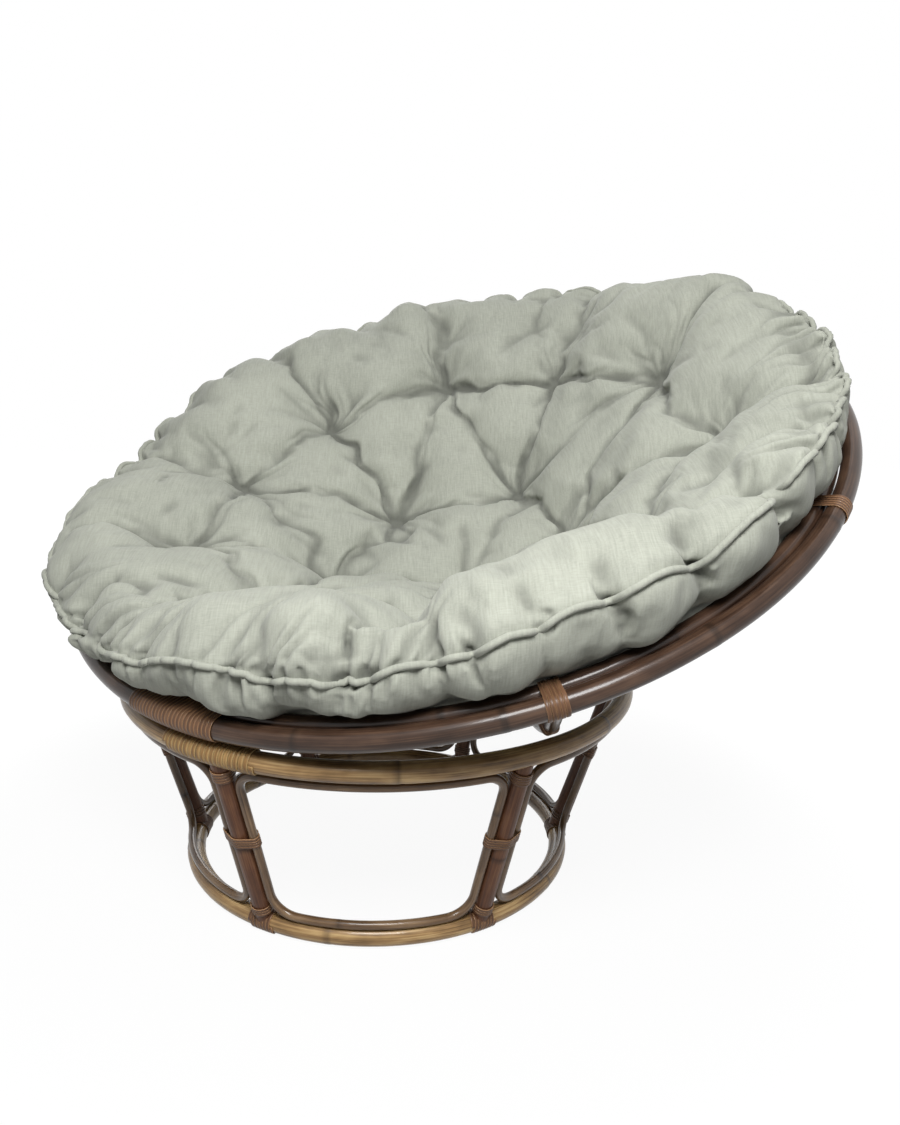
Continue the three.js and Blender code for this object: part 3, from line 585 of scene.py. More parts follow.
# How far short of the rings' centre lines a leg stops, more where the splice binding covers it
LEG_SHORT = 0.0035
WRAPPED_LEG_SHORT = 0.0060
for i in range(LEG_COUNT):
    azimuth, face, place = leg_place(i)
    wrapped = abs(remainder(azimuth - RING_WRAP_CENTRE, tau)) < RING_WRAP_HALF
    high = CONE_RUN - (WRAPPED_LEG_SHORT if wrapped else LEG_SHORT)
    path = place(0.0, 0.0, np.linspace(LEG_SHORT, high, 64))
    normal = np.broadcast_to(face, path.shape)
    name = f"leg {i + 1}"
    pole(name, f"base_leg_{i + 1}", LEG_KIND, path, normal, LEG_POLE_RADIUS, apart=0.2, round_end=False)

# Bindings of the base
TOP_BINDING_MIDDLE = LOOP_HIGH - 0.0038
MIDDLE_BINDING_MIDDLE = CONE_RUN * 0.53
FOOT_BINDING_MIDDLE = LOOP_LOW + 0.0062
leg_round = round_outline(LEG_POLE_RADIUS, FIT_GAP, 36)

# A leg and the loops on both sides of it
reach = reach_at(MIDDLE_BINDING_MIDDLE)
turn = LOOP_OFFSET / reach
x = reach * sin(turn)
y = -reach * (1 - cos(turn)) * CONE_UP
leg = (0, 0, LEG_POLE_RADIUS)
bundle_round = taut_outline([(x, y, LOOP_POLE_RADIUS), leg, (-x, y, LOOP_POLE_RADIUS), leg], FIT_GAP, 40)
for i in range(LEG_COUNT):
    place = leg_place(i)[2]
    for part, outline, turns, strip, middle in (
        ("top", leg_round, 4, LEG_STRIP, TOP_BINDING_MIDDLE),
        ("middle", bundle_round, 4, LEG_STRIP, MIDDLE_BINDING_MIDDLE),
        ("foot", leg_round, 3, FOOT_STRIP, FOOT_BINDING_MIDDLE),
    ):
        name = f"{part} binding {i + 1}"
        replaced = f"leg_{part}_lashing_{i + 1}"
        wound_strip(name, replaced, BASE_BINDING, outline, turns, strip, place, middle)

foot_round = round_outline(RING_POLE_RADIUS, 0.0, 30)
for i in range(LEG_COUNT):
    place = around(BOTTOM_RING, LEG_TURN + i * tau / LEG_COUNT)
    name = f"foot ring binding {i + 1}"
    rest_on_floor(wound_strip(name, None, BASE_BINDING, foot_round, 7, FOOT_RING_STRIP, place))

ring_round = round_outline(RING_POLE_RADIUS, FIT_GAP, 36)
place = around(TOP_RING, RING_WRAP_CENTRE)
name = "ring splice binding"
wound_strip(name, "base_ring_splice_wrap", RING_SPLICE, ring_round, 20, RING_SPLICE_STRIP, place)

# Bowl
INNER_IN = RIB_POLE + INNER_HOOP_POLE + FIT_GAP
HOOP_SPACING = OUTER_HOOP_POLE + INNER_HOOP_POLE + FIT_GAP
INNER_DOWN = sqrt(HOOP_SPACING**2 - INNER_IN**2)
INNER_REACH = RIM_RADIUS - INNER_IN * sin(RIM_POLAR) - INNER_DOWN * cos(RIM_POLAR)
INNER_RISE = INNER_IN * cos(RIM_POLAR) - INNER_DOWN * sin(RIM_POLAR)
MIDDLE_RADIUS = BOWL_RADIUS - RIB_POLE - MIDDLE_HOOP_POLE - FIT_GAP
BOTTOM_RADIUS = BOWL_RADIUS - RIB_POLE - BOTTOM_HOOP_POLE - FIT_GAP


def sphere_ring(radius, polar):
    return on_bowl, radius * sin(polar), RIM_DEPTH - radius * cos(polar)


RIM = (on_bowl, RIM_RADIUS, 0.0)
MIDDLE = sphere_ring(MIDDLE_RADIUS, MIDDLE_HOOP_POLAR)
for name, replaced, ring, radius, sides in (
    ("outer rim hoop", "rim_outer_hoop", RIM, OUTER_HOOP_POLE, 22),
    ("inner rim hoop", "rim_inner_hoop", (on_bowl, INNER_REACH, INNER_RISE), INNER_HOOP_POLE, 18),
    ("middle hoop", "middle_hoop", MIDDLE, MIDDLE_HOOP_POLE, 18),
    ("bottom hoop", "bottom_hoop", sphere_ring(BOTTOM_RADIUS, BOTTOM_HOOP_POLAR), BOTTOM_HOOP_POLE, 14),
):
    hoop(name, replaced, BOWL_KIND, ring, RIB_TURN, radius, sides)

# The two rim hoops, as offsets from the outer one
rim_poles = [(0.0, 0.0, OUTER_HOOP_POLE), (INNER_REACH - RIM_RADIUS, INNER_RISE, INNER_HOOP_POLE)]
rim_round = taut_outline(rim_poles, FIT_GAP, 40)
place = around(RIM, RIB_TURN)
name = "rim splice binding"
wound_strip(name, "rim_splice_wrap", BOWL_BINDING, rim_round, 24, RIM_SPLICE_STRIP, place)

# How far short of the rim's sphere angle a rib stops, more under the rim's splice binding
RIB_SHORT = OUTER_HOOP_POLE + FIT_GAP
SPLICED_RIB_SHORT = 0.0270
RIB_PAST_BOTTOM = 0.009
for i in range(RIB_COUNT):
    azimuth = RIB_TURN + i * tau / RIB_COUNT
    high = RIM_POLAR - (SPLICED_RIB_SHORT if i == 0 else RIB_SHORT) / BOWL_RADIUS
    polars = np.linspace(BOTTOM_HOOP_POLAR - RIB_PAST_BOTTOM / BOWL_RADIUS, high, 120)
    path = on_bowl(azimuth, BOWL_RADIUS * np.sin(polars), RIM_DEPTH - BOWL_RADIUS * np.cos(polars))
    pole(f"rib {i + 1}", f"rib_{i + 1}", BOWL_KIND, path, unit(path - CENTRE), RIB_POLE, sides=14)
    if i > 0:
        place = around(RIM, azimuth)
        wound_strip(f"rim binding {i}", f"rim_lashing_{i}", BOWL_BINDING, rim_round, 5, RIM_STRIP, place)

HOOP_SPLICE_TURN = radians(23.2)
HOOP_SPLICE_SHIFT = 0.0001
hoop_round = round_outline(MIDDLE_HOOP_POLE, FIT_GAP, 24)
place = around(MIDDLE, HOOP_SPLICE_TURN)
name = "middle hoop splice binding"
replaced = "middle_hoop_splice"
wound_strip(name, replaced, BOWL_BINDING, hoop_round, 7, RIM_STRIP, place, HOOP_SPLICE_SHIFT)

# Sharper than an ellipse, as a strip lies over two poles
CROSSING_CORNERS = 0.8


def crossing_binding(name, centre, first, second, away, half_height, half_width, sign):
    """A binding wound on the slant round two poles where they cross."""
    along = unit(first + sign * second)
    across = unit(first - sign * second)
    turns = np.arange(30) * tau / 30
    c, s = np.cos(turns), np.sin(turns)
    outline_x = half_width * np.sign(c) * np.abs(c) ** CROSSING_CORNERS
    outline_y = half_height * np.sign(s) * np.abs(s) ** CROSSING_CORNERS
    outline = np.stack([outline_x, outline_y], axis=-1)
    outward = unit(np.stack([c / half_width, s / half_height], axis=-1))
    place = straight(centre, across, away, along)
    wound_strip(name, None, BOWL_BINDING, (outline, outward), 3, CROSSING_STRIP, place)


for i in range(RIB_COUNT):
    azimuth = RIB_TURN + i * tau / RIB_COUNT
    for hoop_name, radius, pole_radius, polar in (
        ("middle", MIDDLE_RADIUS, MIDDLE_HOOP_POLE, MIDDLE_HOOP_POLAR),
        ("bottom", BOTTOM_RADIUS, BOTTOM_HOOP_POLE, BOTTOM_HOOP_POLAR),
    ):
        _, reach, rise = sphere_ring(radius + (BOWL_RADIUS - radius) / 2, polar)
        centre = on_bowl(azimuth, reach, rise)
        away = unit(centre - CENTRE)
        ring_way = unit(on_bowl(azimuth + 0.01, reach, rise) - on_bowl(azimuth - 0.01, reach, rise))
        rib_way = np.cross(away, ring_way)
        height = RIB_POLE + pole_radius + FIT_GAP
        for sign, letter in ((-1, "a"), (1, "b")):
            name = f"{hoop_name} crossing {i + 1}{letter}"
            crossing_binding(name, centre, ring_way, rib_way, away, height, 1.30 * RIB_POLE, sign)

# Cushion
SEAT_RADIUS = 0.466
SWELL = 0.020
PIPING_RADIUS = 0.0038
AROUND = 1080
TOP_STEPS = 170
SIDE_STEPS = 44
UNDER_STEPS = 96


def rise_of_sphere(radius, reach):
    return RIM_DEPTH - np.sqrt(np.maximum(radius**2 - reach**2, 0.0))


def smooth_round(x, places):
    """A smooth periodic curve through (degrees, value) pairs."""
    at, value = np.array(places, float).T
    at = np.concatenate([at - 360, at, at + 360])
    value = np.tile(value, 3)
    slope = np.gradient(value, at)
    k = np.clip(np.searchsorted(at, x) - 1, 0, len(at) - 2)
    h = at[k + 1] - at[k]
    t = (x - at[k]) / h
    t2 = t * t
    t3 = t2 * t
    return (
        (2 * t3 - 3 * t2 + 1) * value[k]
        + (t3 - 2 * t2 + t) * h * slope[k]
        + (3 * t2 - 2 * t3) * value[k + 1]
        + (t3 - t2) * h * slope[k + 1]
    )


# Height of the crest round the cushion, in degrees and millimetres above the rim's plane
CREST = [
    (-174, 55), (-168, 61), (-160, 71), (-151, 88), (-142, 98), (-134, 72), (-126, 92), (-115, 99),
    (-97, 96), (-85, 70), (-72, 64), (-58, 80), (-46, 100), (-30, 100), (-15, 106), (-3, 121), (8, 128),
    (19, 136), (28, 120), (36, 132), (46, 133), (60, 132), (68, 122), (75, 108), (82, 118), (90, 110),
    (98, 110), (106, 90), (116, 88), (126, 110), (138, 128), (147, 136), (157, 112), (166, 90), (173, 84),
    (180, 60),
]
# Reach of the piping from the seat axis, in degrees and millimetres
PIPING_REACH = [
    (-172, 558), (-150, 560), (-125, 563), (-105, 562), (-88, 558), (-72, 554), (-58, 560), (-45, 572),
    (-30, 564), (-10, 556), (20, 545), (45, 540), (70, 540), (95, 542), (120, 545), (145, 553), (165, 557),
]
# Places where the seam is tucked in, in degrees, and the seam's height there in millimetres
TUCKS = [
    (-175, 27), (-166, 29), (-158, 30), (-147, 30), (-139, 34), (-131, 33), (-121, 36), (-112, 34),
    (-101, 42), (-91, 40), (-84, 31), (-77.5, 34), (-70, 33), (-52, 40), (-43, 42), (-33, 44), (-24, 46),
    (-13, 52), (-5, 70), (8, 84), (12.5, 68), (20, 62), (23.5, 64), (31, 74), (35, 76), (42, 83),
    (50, 84), (60.5, 74), (75, 86), (83, 96), (91, 84), (99, 80), (107, 75), (115, 76),
    (123, 68), (131, 65), (140, 60), (149, 54), (158, 46), (167, 38), (176, 29),
]
# Tufts, in degrees and metres of reach
OUTER_TUFTS = [
    (-148.6, 0.328), (-112.5, 0.323), (-76, 0.351), (-45, 0.362), (-9, 0.356), (29, 0.352), (70, 0.362),
    (108, 0.385), (143, 0.345), (176.3, 0.325),
]
INNER_TUFTS = [(-101, 0.139), (-35, 0.200), (26, 0.105), (102, 0.166), (170, 0.133)]
# Which tufts a crease joins, inner first
CROSSINGS = [
    (0, 1), (0, 2), (0, 0), (1, 3), (1, 4), (1, 2), (2, 4), (2, 5), (2, 6), (3, 6), (3, 7), (3, 8), (4, 8),
    (4, 9), (4, 0),
]
# Deep folds over the crest, each a line of (degrees, reach), with its depth and half width
FOLDS = [
    (
        [(63, 0.405), (69, 0.445), (73.5, 0.470), (75.5, 0.495), (75.5, 0.520), (75, 0.545), (75, 0.60)],
        0.045,
        0.014,
    ),
    ([(82, 0.420), (87, 0.455), (90, 0.500), (91, 0.535), (92, 0.60)], 0.030, 0.012),
    ([(28, 0.460), (24.5, 0.470), (22, 0.490), (21.3, 0.515), (20.5, 0.545)], 0.026, 0.009),
    ([(-14, 0.450), (-24, 0.485), (-24.5, 0.515), (-20, 0.540), (-14, 0.565)], 0.028, 0.010),
    ([(77, 0.470), (76.5, 0.486)], 0.018, 0.012),
]

turns = np.arange(AROUND) * tau / AROUND - pi
degrees = np.degrees(turns)
crest = smooth_round(degrees, CREST) / 1000 - SWELL
piping_reach = smooth_round(degrees, PIPING_REACH) / 1000
# The side bulges most where the roll is fullest
SIDE_BULGE = 0.004
FULLEST = radians(65)
bulge = SIDE_BULGE + 0.003 * (1 - np.cos(turns - FULLEST))

# The seam is held down at each tuck and arches up between them
tuck_at, tuck_rise = np.array(TUCKS, float).T
tuck_at = np.concatenate([tuck_at[-1:] - 360, tuck_at, tuck_at[:1] + 360])
tuck_rise = np.concatenate([tuck_rise[-1:], tuck_rise, tuck_rise[:1]]) / 1000
ARCH_PER_DEGREE = 0.0018
WIDEST_ARCH = 10
arch_height = ARCH_PER_DEGREE * np.minimum(np.diff(tuck_at), WIDEST_ARCH)
span = np.clip(np.searchsorted(tuck_at, degrees, side="right") - 1, 0, len(tuck_at) - 2)
between = (degrees - tuck_at[span]) / (tuck_at[span + 1] - tuck_at[span])
arch = arch_height[span] * np.sin(pi * between) ** 0.7
piping_rise = tuck_rise[span] * (1 - between) + tuck_rise[span + 1] * between + arch
piping_rise = (np.roll(piping_rise, 1) + 2 * piping_rise + np.roll(piping_rise, -1)) / 4

STEPS_PER_KNOT = 10


def spread(points, steps):
    """Resamples lines of (reach, rise) knots, one per azimuth, through smooth curves."""
    knots = np.stack(points, axis=1)
    fine = []
    count = knots.shape[1]
    for k in range(count - 1):
        before = knots[:, max(k - 1, 0)]
        a = knots[:, k]
        b = knots[:, k + 1]
        after = knots[:, min(k + 2, count - 1)]
        for t in np.linspace(0, 1, STEPS_PER_KNOT, endpoint=False):
            straight = 2 * a + (b - before) * t
            square = (2 * before - 5 * a + 4 * b - after) * t**2
            cube = (3 * a - before - 3 * b + after) * t**3
            fine.append(0.5 * (straight + square + cube))
    fine.append(knots[:, -1])
    fine = np.stack(fine, axis=1)
    lines = zip(fine, run_of(fine))
    return np.stack([at_runs(np.linspace(0, run[-1], steps + 1), run, line) for line, run in lines])


def knot(reach, rise):
    return np.stack(np.broadcast_arrays(reach, rise, turns)[:2], axis=-1)


# Knots of the cushion's section: up over the roll to the seam, down to the rim, and under along the ribs
UNDER_RADIUS = 0.6135
SIDE_FOOT = 0.021
SIDE_REACH = 0.548
UNDER_EDGE = 0.5105
above_seam = np.maximum(crest - piping_rise, 0)
top_knots = [knot(r, rise_of_sphere(SEAT_RADIUS, r)) for r in (0.0, 0.07, 0.14, 0.21, 0.27)]
top_knots += [
    knot(0.325, -0.007),
    knot(0.370, 0.004 + 0.18 * crest),
    knot(0.410, 0.44 * crest),
    knot(0.448, 0.80 * crest),
    knot(0.484, crest),
    knot(piping_reach - 0.036, crest - 0.35 * above_seam),
    knot(piping_reach - 0.010, piping_rise + 0.45 * np.maximum(above_seam, 0.012)),
    knot(piping_reach, piping_rise),
]
side_drop = piping_rise - SIDE_FOOT
side_knots = [
    knot(piping_reach, piping_rise),
    knot(piping_reach + 0.80 * bulge, SIDE_FOOT + 0.80 * side_drop),
    knot(piping_reach + 0.50 * bulge, SIDE_FOOT + 0.50 * side_drop),
    knot(piping_reach - 0.50 * bulge, SIDE_FOOT + 0.20 * side_drop),
    knot(np.minimum(piping_reach - 0.012, SIDE_REACH), SIDE_FOOT),
    knot(0.530, 0.0155),
    knot(0.5175, 0.006),
    knot(UNDER_EDGE, -0.012),
]
under_reaches = (UNDER_EDGE, 0.47, 0.40, 0.30, 0.20, 0.10, 0.0)
under_knots = [knot(r, rise_of_sphere(UNDER_RADIUS, r)) for r in under_reaches]
top = spread(top_knots, TOP_STEPS)
side = spread(side_knots, SIDE_STEPS)
under = spread(under_knots, UNDER_STEPS)
outline = np.concatenate([top[:, :-1], side[:, :-1], under], axis=1)
SEAM = TOP_STEPS
azimuth = turns[:, None]
surface = on_bowl(azimuth, outline[..., 0], outline[..., 1])
ahead = np.roll(surface, -1, axis=0) - np.roll(surface, 1, axis=0)
outward = unit(np.cross(np.gradient(surface, axis=1), ahead))
outward[:, 0] = SEAT_AXIS
outward[:, -1] = -SEAT_AXIS

# The same run of cloth laid flat, to place tufts, creases and folds on it
BEYOND_SEAM = 2.2
nominal = outline.mean(axis=0)
nominal_run = run_of(nominal)
run_all = np.broadcast_to(nominal_run, outline.shape[:2])
seam_reach = nominal[SEAM, 0]
seam_run = nominal_run[SEAM]


def flat_spot(degree, reach):
    if reach > seam_reach:
        away = seam_run + (reach - seam_reach) * BEYOND_SEAM
    else:
        away = float(np.interp(reach, nominal[: SEAM + 1, 0], nominal_run[: SEAM + 1]))
    turn = radians(degree)
    return np.array([away * cos(turn), away * sin(turn)])


noise_rng = np.random.default_rng(11)
RIPPLE_WAVES = 14


def ripples(x, y, length):
    """Smooth noise of about unit size, as a sum of random waves of roughly one length."""
    total = np.zeros_like(x)
    for _ in range(RIPPLE_WAVES):
        heading = noise_rng.uniform(0, tau)
        k = tau / (length * noise_rng.uniform(0.7, 1.5))
        phase = noise_rng.uniform(0, ANY_PHASE)
        total += np.sin(k * (x * cos(heading) + y * sin(heading)) + phase)
    return total / sqrt(RIPPLE_WAVES / 2)


# Wandering lines look sewn by hand
WANDER = 0.006
WANDER_LENGTH = 0.10
plan_x = run_all * np.cos(azimuth)
plan_y = run_all * np.sin(azimuth)
warp_x = plan_x + WANDER * ripples(plan_x, plan_y, WANDER_LENGTH)
warp_y = plan_y + WANDER * ripples(plan_x, plan_y, WANDER_LENGTH)

# Creases between the tufts, as a product of what each leaves of the filling
lobes = np.ones_like(run_all)
outer_flat = [flat_spot(*tuft) for tuft in OUTER_TUFTS]
inner_flat = [flat_spot(*tuft) for tuft in INNER_TUFTS]
all_flat = outer_flat + inner_flat
outer_pairs = list(zip(outer_flat, outer_flat[1:] + outer_flat[:1]))
inner_pairs = list(zip(inner_flat, inner_flat[1:] + inner_flat[:1]))
cross_pairs = [(inner_flat[i], outer_flat[k]) for i, k in CROSSINGS]


def crease(a, b, middle, width, ends=(1.0, 1.0)):
    away, share, _ = from_segment(warp_x, warp_y, a, b)
    end = ends[0] * (1 - share) + ends[1] * share
    strength = middle + (end - middle) * np.abs(2 * share - 1) ** 1.6
    lobes[:] *= 1 - strength * bell(away, width, 1.25)


for pairs, middle, width in (
    (outer_pairs, 0.62, 0.036), (inner_pairs, 0.55, 0.034), (cross_pairs, 0.5, 0.034)
):
    for a, b in pairs:
        crease(a, b, middle, width)

# Creases from the outer tufts over the roll, weaker where the photographed roll is smooth
CREST_REACH = 0.455
OVER_CREST_REACH = 0.545
CREST_HOLD = 0.72
SMOOTH_TUFT = -9
for degree, reach in OUTER_TUFTS:
    lean = draw(-4, 4)
    hold = 0.55 if degree == SMOOTH_TUFT else 1.0
    mid = flat_spot(degree + lean * 0.6, CREST_REACH)
    end = flat_spot(degree + lean, OVER_CREST_REACH)
    crease(flat_spot(degree, reach), mid, CREST_HOLD * hold, 0.034, (1.0, CREST_HOLD * hold))
    crease(mid, end, 0.6 * hold, 0.026, (CREST_HOLD * hold, 0.5 * hold))
depth_at = [0, seam_run * 0.52, seam_run * 0.70, seam_run * 0.86, seam_run * 0.97, seam_run + 0.02]
depth = np.interp(nominal_run, depth_at, [0.030, 0.033, 0.034, 0.026, 0.010, 0.0])
sink = depth * (1 - lobes)

TUFT_DEPTH = 0.006
TUFT_WIDTH = 0.016
for flat in all_flat:
    sink += TUFT_DEPTH * bell(np.hypot(warp_x - flat[0], warp_y - flat[1]), TUFT_WIDTH, 1.4)

# Folds of the roll, tucks of the seam with the pleats they draw, and the seam's own groove
FOLD_FADE = 0.25
TUCK_WIDTH = 0.0075
TUCK_LEAN_RUN = 0.07
QUIET_SHARE = 0.45
for line, deep, half in FOLDS:
    nearest, share, _ = from_line(warp_x, warp_y, [flat_spot(*spot) for spot in line])
    sink += deep * np.clip(share / FOLD_FADE, 0, 1) ** 0.7 * bell(nearest, half, 1.2)
on_top = np.arange(outline.shape[1]) <= SEAM
from_seam = np.abs(run_all - seam_run)
reach_here = np.maximum(outline[..., 0], 0.2)
tuck_depth = np.where(on_top, 0.0140 * bell(from_seam, 0.045, 1), 0.0160 * bell(from_seam, 0.040, 1))
for degree, _ in TUCKS:
    lean = draw(-2.0, 2.0)
    off = (degrees[:, None] - degree + 180) % 360 - 180
    slant = lean * (seam_run - run_all) / TUCK_LEAN_RUN
    away = np.abs(np.radians(off + np.where(on_top, slant, -slant * 0.8))) * reach_here
    share = QUIET_SHARE if degree < -50 or degree > 150 else 1.0
    sink += share * tuck_depth * bell(away, TUCK_WIDTH, 1.3)


def ridges(arc, apart, sway):
    return (1 - np.abs(np.sin(arc / apart * pi + sway))) ** 2


busy = 0.12 + 0.88 * bell(degrees + 2, 26) + 0.55 * bell(degrees - 105, 26)
arc = azimuth * 0.55 + 0.012 * ripples(plan_x, plan_y, 0.16) + 0.05 * (run_all - seam_run)
pleats = 0.0080 * ridges(arc, 0.030, 1.3 * np.sin(azimuth * 7))
pleats += 0.0030 * ridges(arc, 0.0165, 2.1 * np.sin(azimuth * 5 + 1))
sink += bell(from_seam, 0.075) * busy[:, None] * pleats
sink += 0.004 * bell(from_seam, 0.007, 1.5)
swell = 0.0030 * ripples(plan_x, plan_y, 0.13) + 0.0012 * ripples(plan_x, plan_y, 0.045)

# The underside stays smooth, as it lies on the ribs
CALM_FROM = 0.10
CALM_OVER = 0.05
calm = np.clip((nominal_run - seam_run - CALM_FROM) / CALM_OVER, 0, 1)
surface = surface - outward * ((sink - swell) * (1 - calm))[..., None]


def closed_skin(rows):
    """A closed skin over a grid of points with a pole at each end."""
    count, steps = rows.shape[:2]
    points = np.concatenate([rows[:1, 0], rows[:, 1:-1].reshape(-1, 3), rows[:1, -1]])
    columns = steps - 2
    faces = []
    for i in range(count):
        here = 1 + i * columns
        beside = 1 + (i + 1) % count * columns
        faces.append((0, here, beside))
        for j in range(columns - 1):
            faces.append((here + j, here + j + 1, beside + j + 1, beside + j))
        faces.append((len(points) - 1, beside + columns - 1, here + columns - 1))
    return points, faces


def apply_modifiers(made):
    bpy.context.view_layer.update()
    ready = made.evaluated_get(bpy.context.evaluated_depsgraph_get())
    mesh = bpy.data.meshes.new_from_object(ready)
    made.modifiers.clear()
    old = made.data
    made.data = mesh
    bpy.data.meshes.remove(old)


CLOTH_STEP = 0.0055
cover = make_object("cushion cover", *closed_skin(surface))
remesh = cover.modifiers.new("even", "REMESH")
remesh.mode = "VOXEL"
remesh.voxel_size = CLOTH_STEP
remesh.use_smooth_shade = True
apply_modifiers(cover)
cover.data.materials.clear()
cover.data.materials.append(cloth_look)


def nearest_of(spots, targets):
    """The index of the target nearest to each spot, and the distance to it."""
    tree = KDTree(len(targets))
    for i, target in enumerate(targets):
        tree.insert(target, i)
    tree.balance()
    found = [tree.find(spot) for spot in spots]
    return np.array([index for _, index, _ in found]), np.array([away for _, _, away in found])


def surface_spot(flat):
    off = (warp_x[:, : SEAM + 1] - flat[0]) ** 2 + (warp_y[:, : SEAM + 1] - flat[1]) ** 2
    return surface[divmod(int(np.argmin(off)), SEAM + 1)]


def hold_near(spots, targets, solid, fade):
    """1 within a distance of any target, falling to 0 over the next."""
    return np.clip(1 - (nearest_of(spots, targets)[1] - solid) / fade, 0, 1)


# Filling pushes the slack cloth out between what holds it: tufts, seam, deep folds and what lies on the rim
CLOTH_SLACK = 0.05
MOST_SWELL = 0.028
MOST_SWELL_AT_RIM = 0.003
RIM_CONTACT = 0.016
INSIDE_BOWL = 0.53
FOLD_HOLD = 0.7
HOLD_LEVELS = 8
LAST_FRAME = 18
CLOTH_SETTINGS = dict(
    quality=4, mass=0.15, tension_stiffness=12, compression_stiffness=8, shear_stiffness=4,
    bending_stiffness=0.7, tension_damping=8, compression_damping=8, shear_damping=8, air_damping=2,
    use_pressure=True, uniform_pressure_force=5.0, shrink_min=-CLOTH_SLACK,
    vertex_group_mass="held", pin_stiffness=1.0,
)
fold_spots = []
for line, _, _ in FOLDS:
    for a, b in zip(line, line[1:]):
        for share in (0.0, 0.33, 0.67):
            degree, reach = (a[0] + share * (b[0] - a[0]), a[1] + share * (b[1] - a[1]))
            fold_spots.append(surface_spot(flat_spot(degree, reach)))
before = read_all(cover.data.vertices, "co")
above_rim = (before - CENTRE) @ SEAT_AXIS + RIM_DEPTH
from_centre = np.linalg.norm(before - CENTRE, axis=1)
held = hold_near(before, [surface_spot(flat) for flat in all_flat], 0.006, 0.006)
held = np.maximum(held, hold_near(before, surface[:, SEAM], 0.003, 0.004))
held = np.maximum(held, FOLD_HOLD * hold_near(before, fold_spots, 0.004, 0.006))
held = np.where((above_rim < RIM_CONTACT) & (from_centre > INSIDE_BOWL), 1.0, held)
group = cover.vertex_groups.new(name="held")
steps = np.round(held * HOLD_LEVELS)
for level in np.unique(steps[steps > 0]):
    group.add(np.nonzero(steps == level)[0].tolist(), float(level) / HOLD_LEVELS, "REPLACE")
cloth = cover.modifiers.new("filling", "CLOTH")
for key, value in CLOTH_SETTINGS.items():
    setattr(cloth.settings, key, value)
cloth.settings.effector_weights.gravity = 0
cloth.collision_settings.use_collision = False
cloth.collision_settings.use_self_collision = False
cloth.point_cache.frame_start = 1
cloth.point_cache.frame_end = LAST_FRAME
for moment in range(1, LAST_FRAME + 1):
    scene.frame_set(moment)
apply_modifiers(cover)
scene.frame_set(1)
moved = read_all(cover.data.vertices, "co") - before
most = np.interp(above_rim, [0.014, 0.045], [MOST_SWELL_AT_RIM, MOST_SWELL])
most = np.where(from_centre < INSIDE_BOWL, MOST_SWELL, most)
moved *= np.minimum(1, most / np.maximum(np.linalg.norm(moved, axis=1), 1e-9))[:, None]
write_all(cover.data.vertices, "co", before + moved)
cover.data.update()
cover.vertex_groups.clear()


def relaxed(mesh, spots, rounds):
    """The points of a mesh, each drawn towards its neighbours' mean place."""
    pairs = np.zeros(len(mesh.edges) * 2, np.int64)
    mesh.edges.foreach_get("vertices", pairs)
    a, b = pairs.reshape(-1, 2).T
    count = np.bincount(pairs, minlength=len(spots))[:, None]
    smooth = spots.copy()
    for _ in range(rounds):
        total = np.zeros_like(smooth)
        for axis in range(3):
            total[:, axis] = np.bincount(a, smooth[b, axis], len(spots))
            total[:, axis] += np.bincount(b, smooth[a, axis], len(spots))
        smooth = 0.4 * smooth + 0.6 * total / count
    return smooth


# Gathers round the tufts, and pleats that the seam draws in the cloth on both sides of it
LONG_GATHER = 0.0056
TUFT_GATHER = 0.0046
ROLL_GATHER = 0.0058
gathers = []


def gather(start, bearing, length, bend, deep, half):
    """Adds one narrow fold of the cloth, bent along its length, from a start on the flat cloth."""
    turn = bearing + bend * np.linspace(0, 1, 7)
    steps = np.stack([np.cos(turn), np.sin(turn)], axis=-1) * length / 6
    line = start + np.concatenate([[[0, 0]], np.cumsum(steps[:-1], axis=0)])
    gathers.append((line, length, deep, half))


for a, b in outer_pairs + inner_pairs + cross_pairs:
    for start, end in ((a, b), (b, a)):
        way = end - start
        length = np.hypot(*way) * draw(0.42, 0.66)
        bearing = atan2(way[1], way[0]) + draw(-0.12, 0.12)
        gather(start, bearing, length, draw(-0.4, 0.4), draw(0.0050, 0.0080), LONG_GATHER)
for flat in all_flat:
    count = chance.randint(7, 9)
    first = draw(0, tau)
    for k in range(count):
        bearing = first + tau * k / count + draw(-0.25, 0.25)
        gather(flat, bearing, draw(0.03, 0.085), draw(-0.8, 0.8), draw(0.003, 0.005), TUFT_GATHER)
for (degree, _), flat in zip(OUTER_TUFTS, outer_flat):
    bolster = 20 < degree < 80
    for lean in (-0.45, -0.1, 0.25, 0.55):
        length = draw(0.03, 0.05) if bolster else draw(0.075, 0.15)
        bearing = radians(degree) + lean + draw(-0.12, 0.12)
        gather(flat, bearing, length, draw(-0.4, 0.24), draw(0.004, 0.0065), ROLL_GATHER)
for i, (degree, _) in enumerate(TUCKS):
    gathered = -34 < degree < 27 or 80 < degree < 128
    to_next = (TUCKS[(i + 1) % len(TUCKS)][0] - degree) % 360
    for share in (0.0, 0.34, 0.67) if gathered else (0.0,):
        start = flat_spot(degree + share * to_next, float(seam_reach))
        inward = atan2(-start[1], -start[0])
        lean = -0.5 if degree < 27 else 0.15
        length = draw(0.06, 0.13) if gathered else draw(0.02, 0.05)
        deep = draw(0.0060, 0.0100) * (1.0 if share == 0.0 else 0.8)
        bearing = inward + lean + draw(-0.25, 0.25)
        gather(start, bearing, length, draw(-0.3, 0.6), deep, ROLL_GATHER)
        down = inward + pi + draw(-0.3, 0.3)
        gather(start, down, draw(0.025, 0.05), draw(-0.5, 0.5), deep, LONG_GATHER)


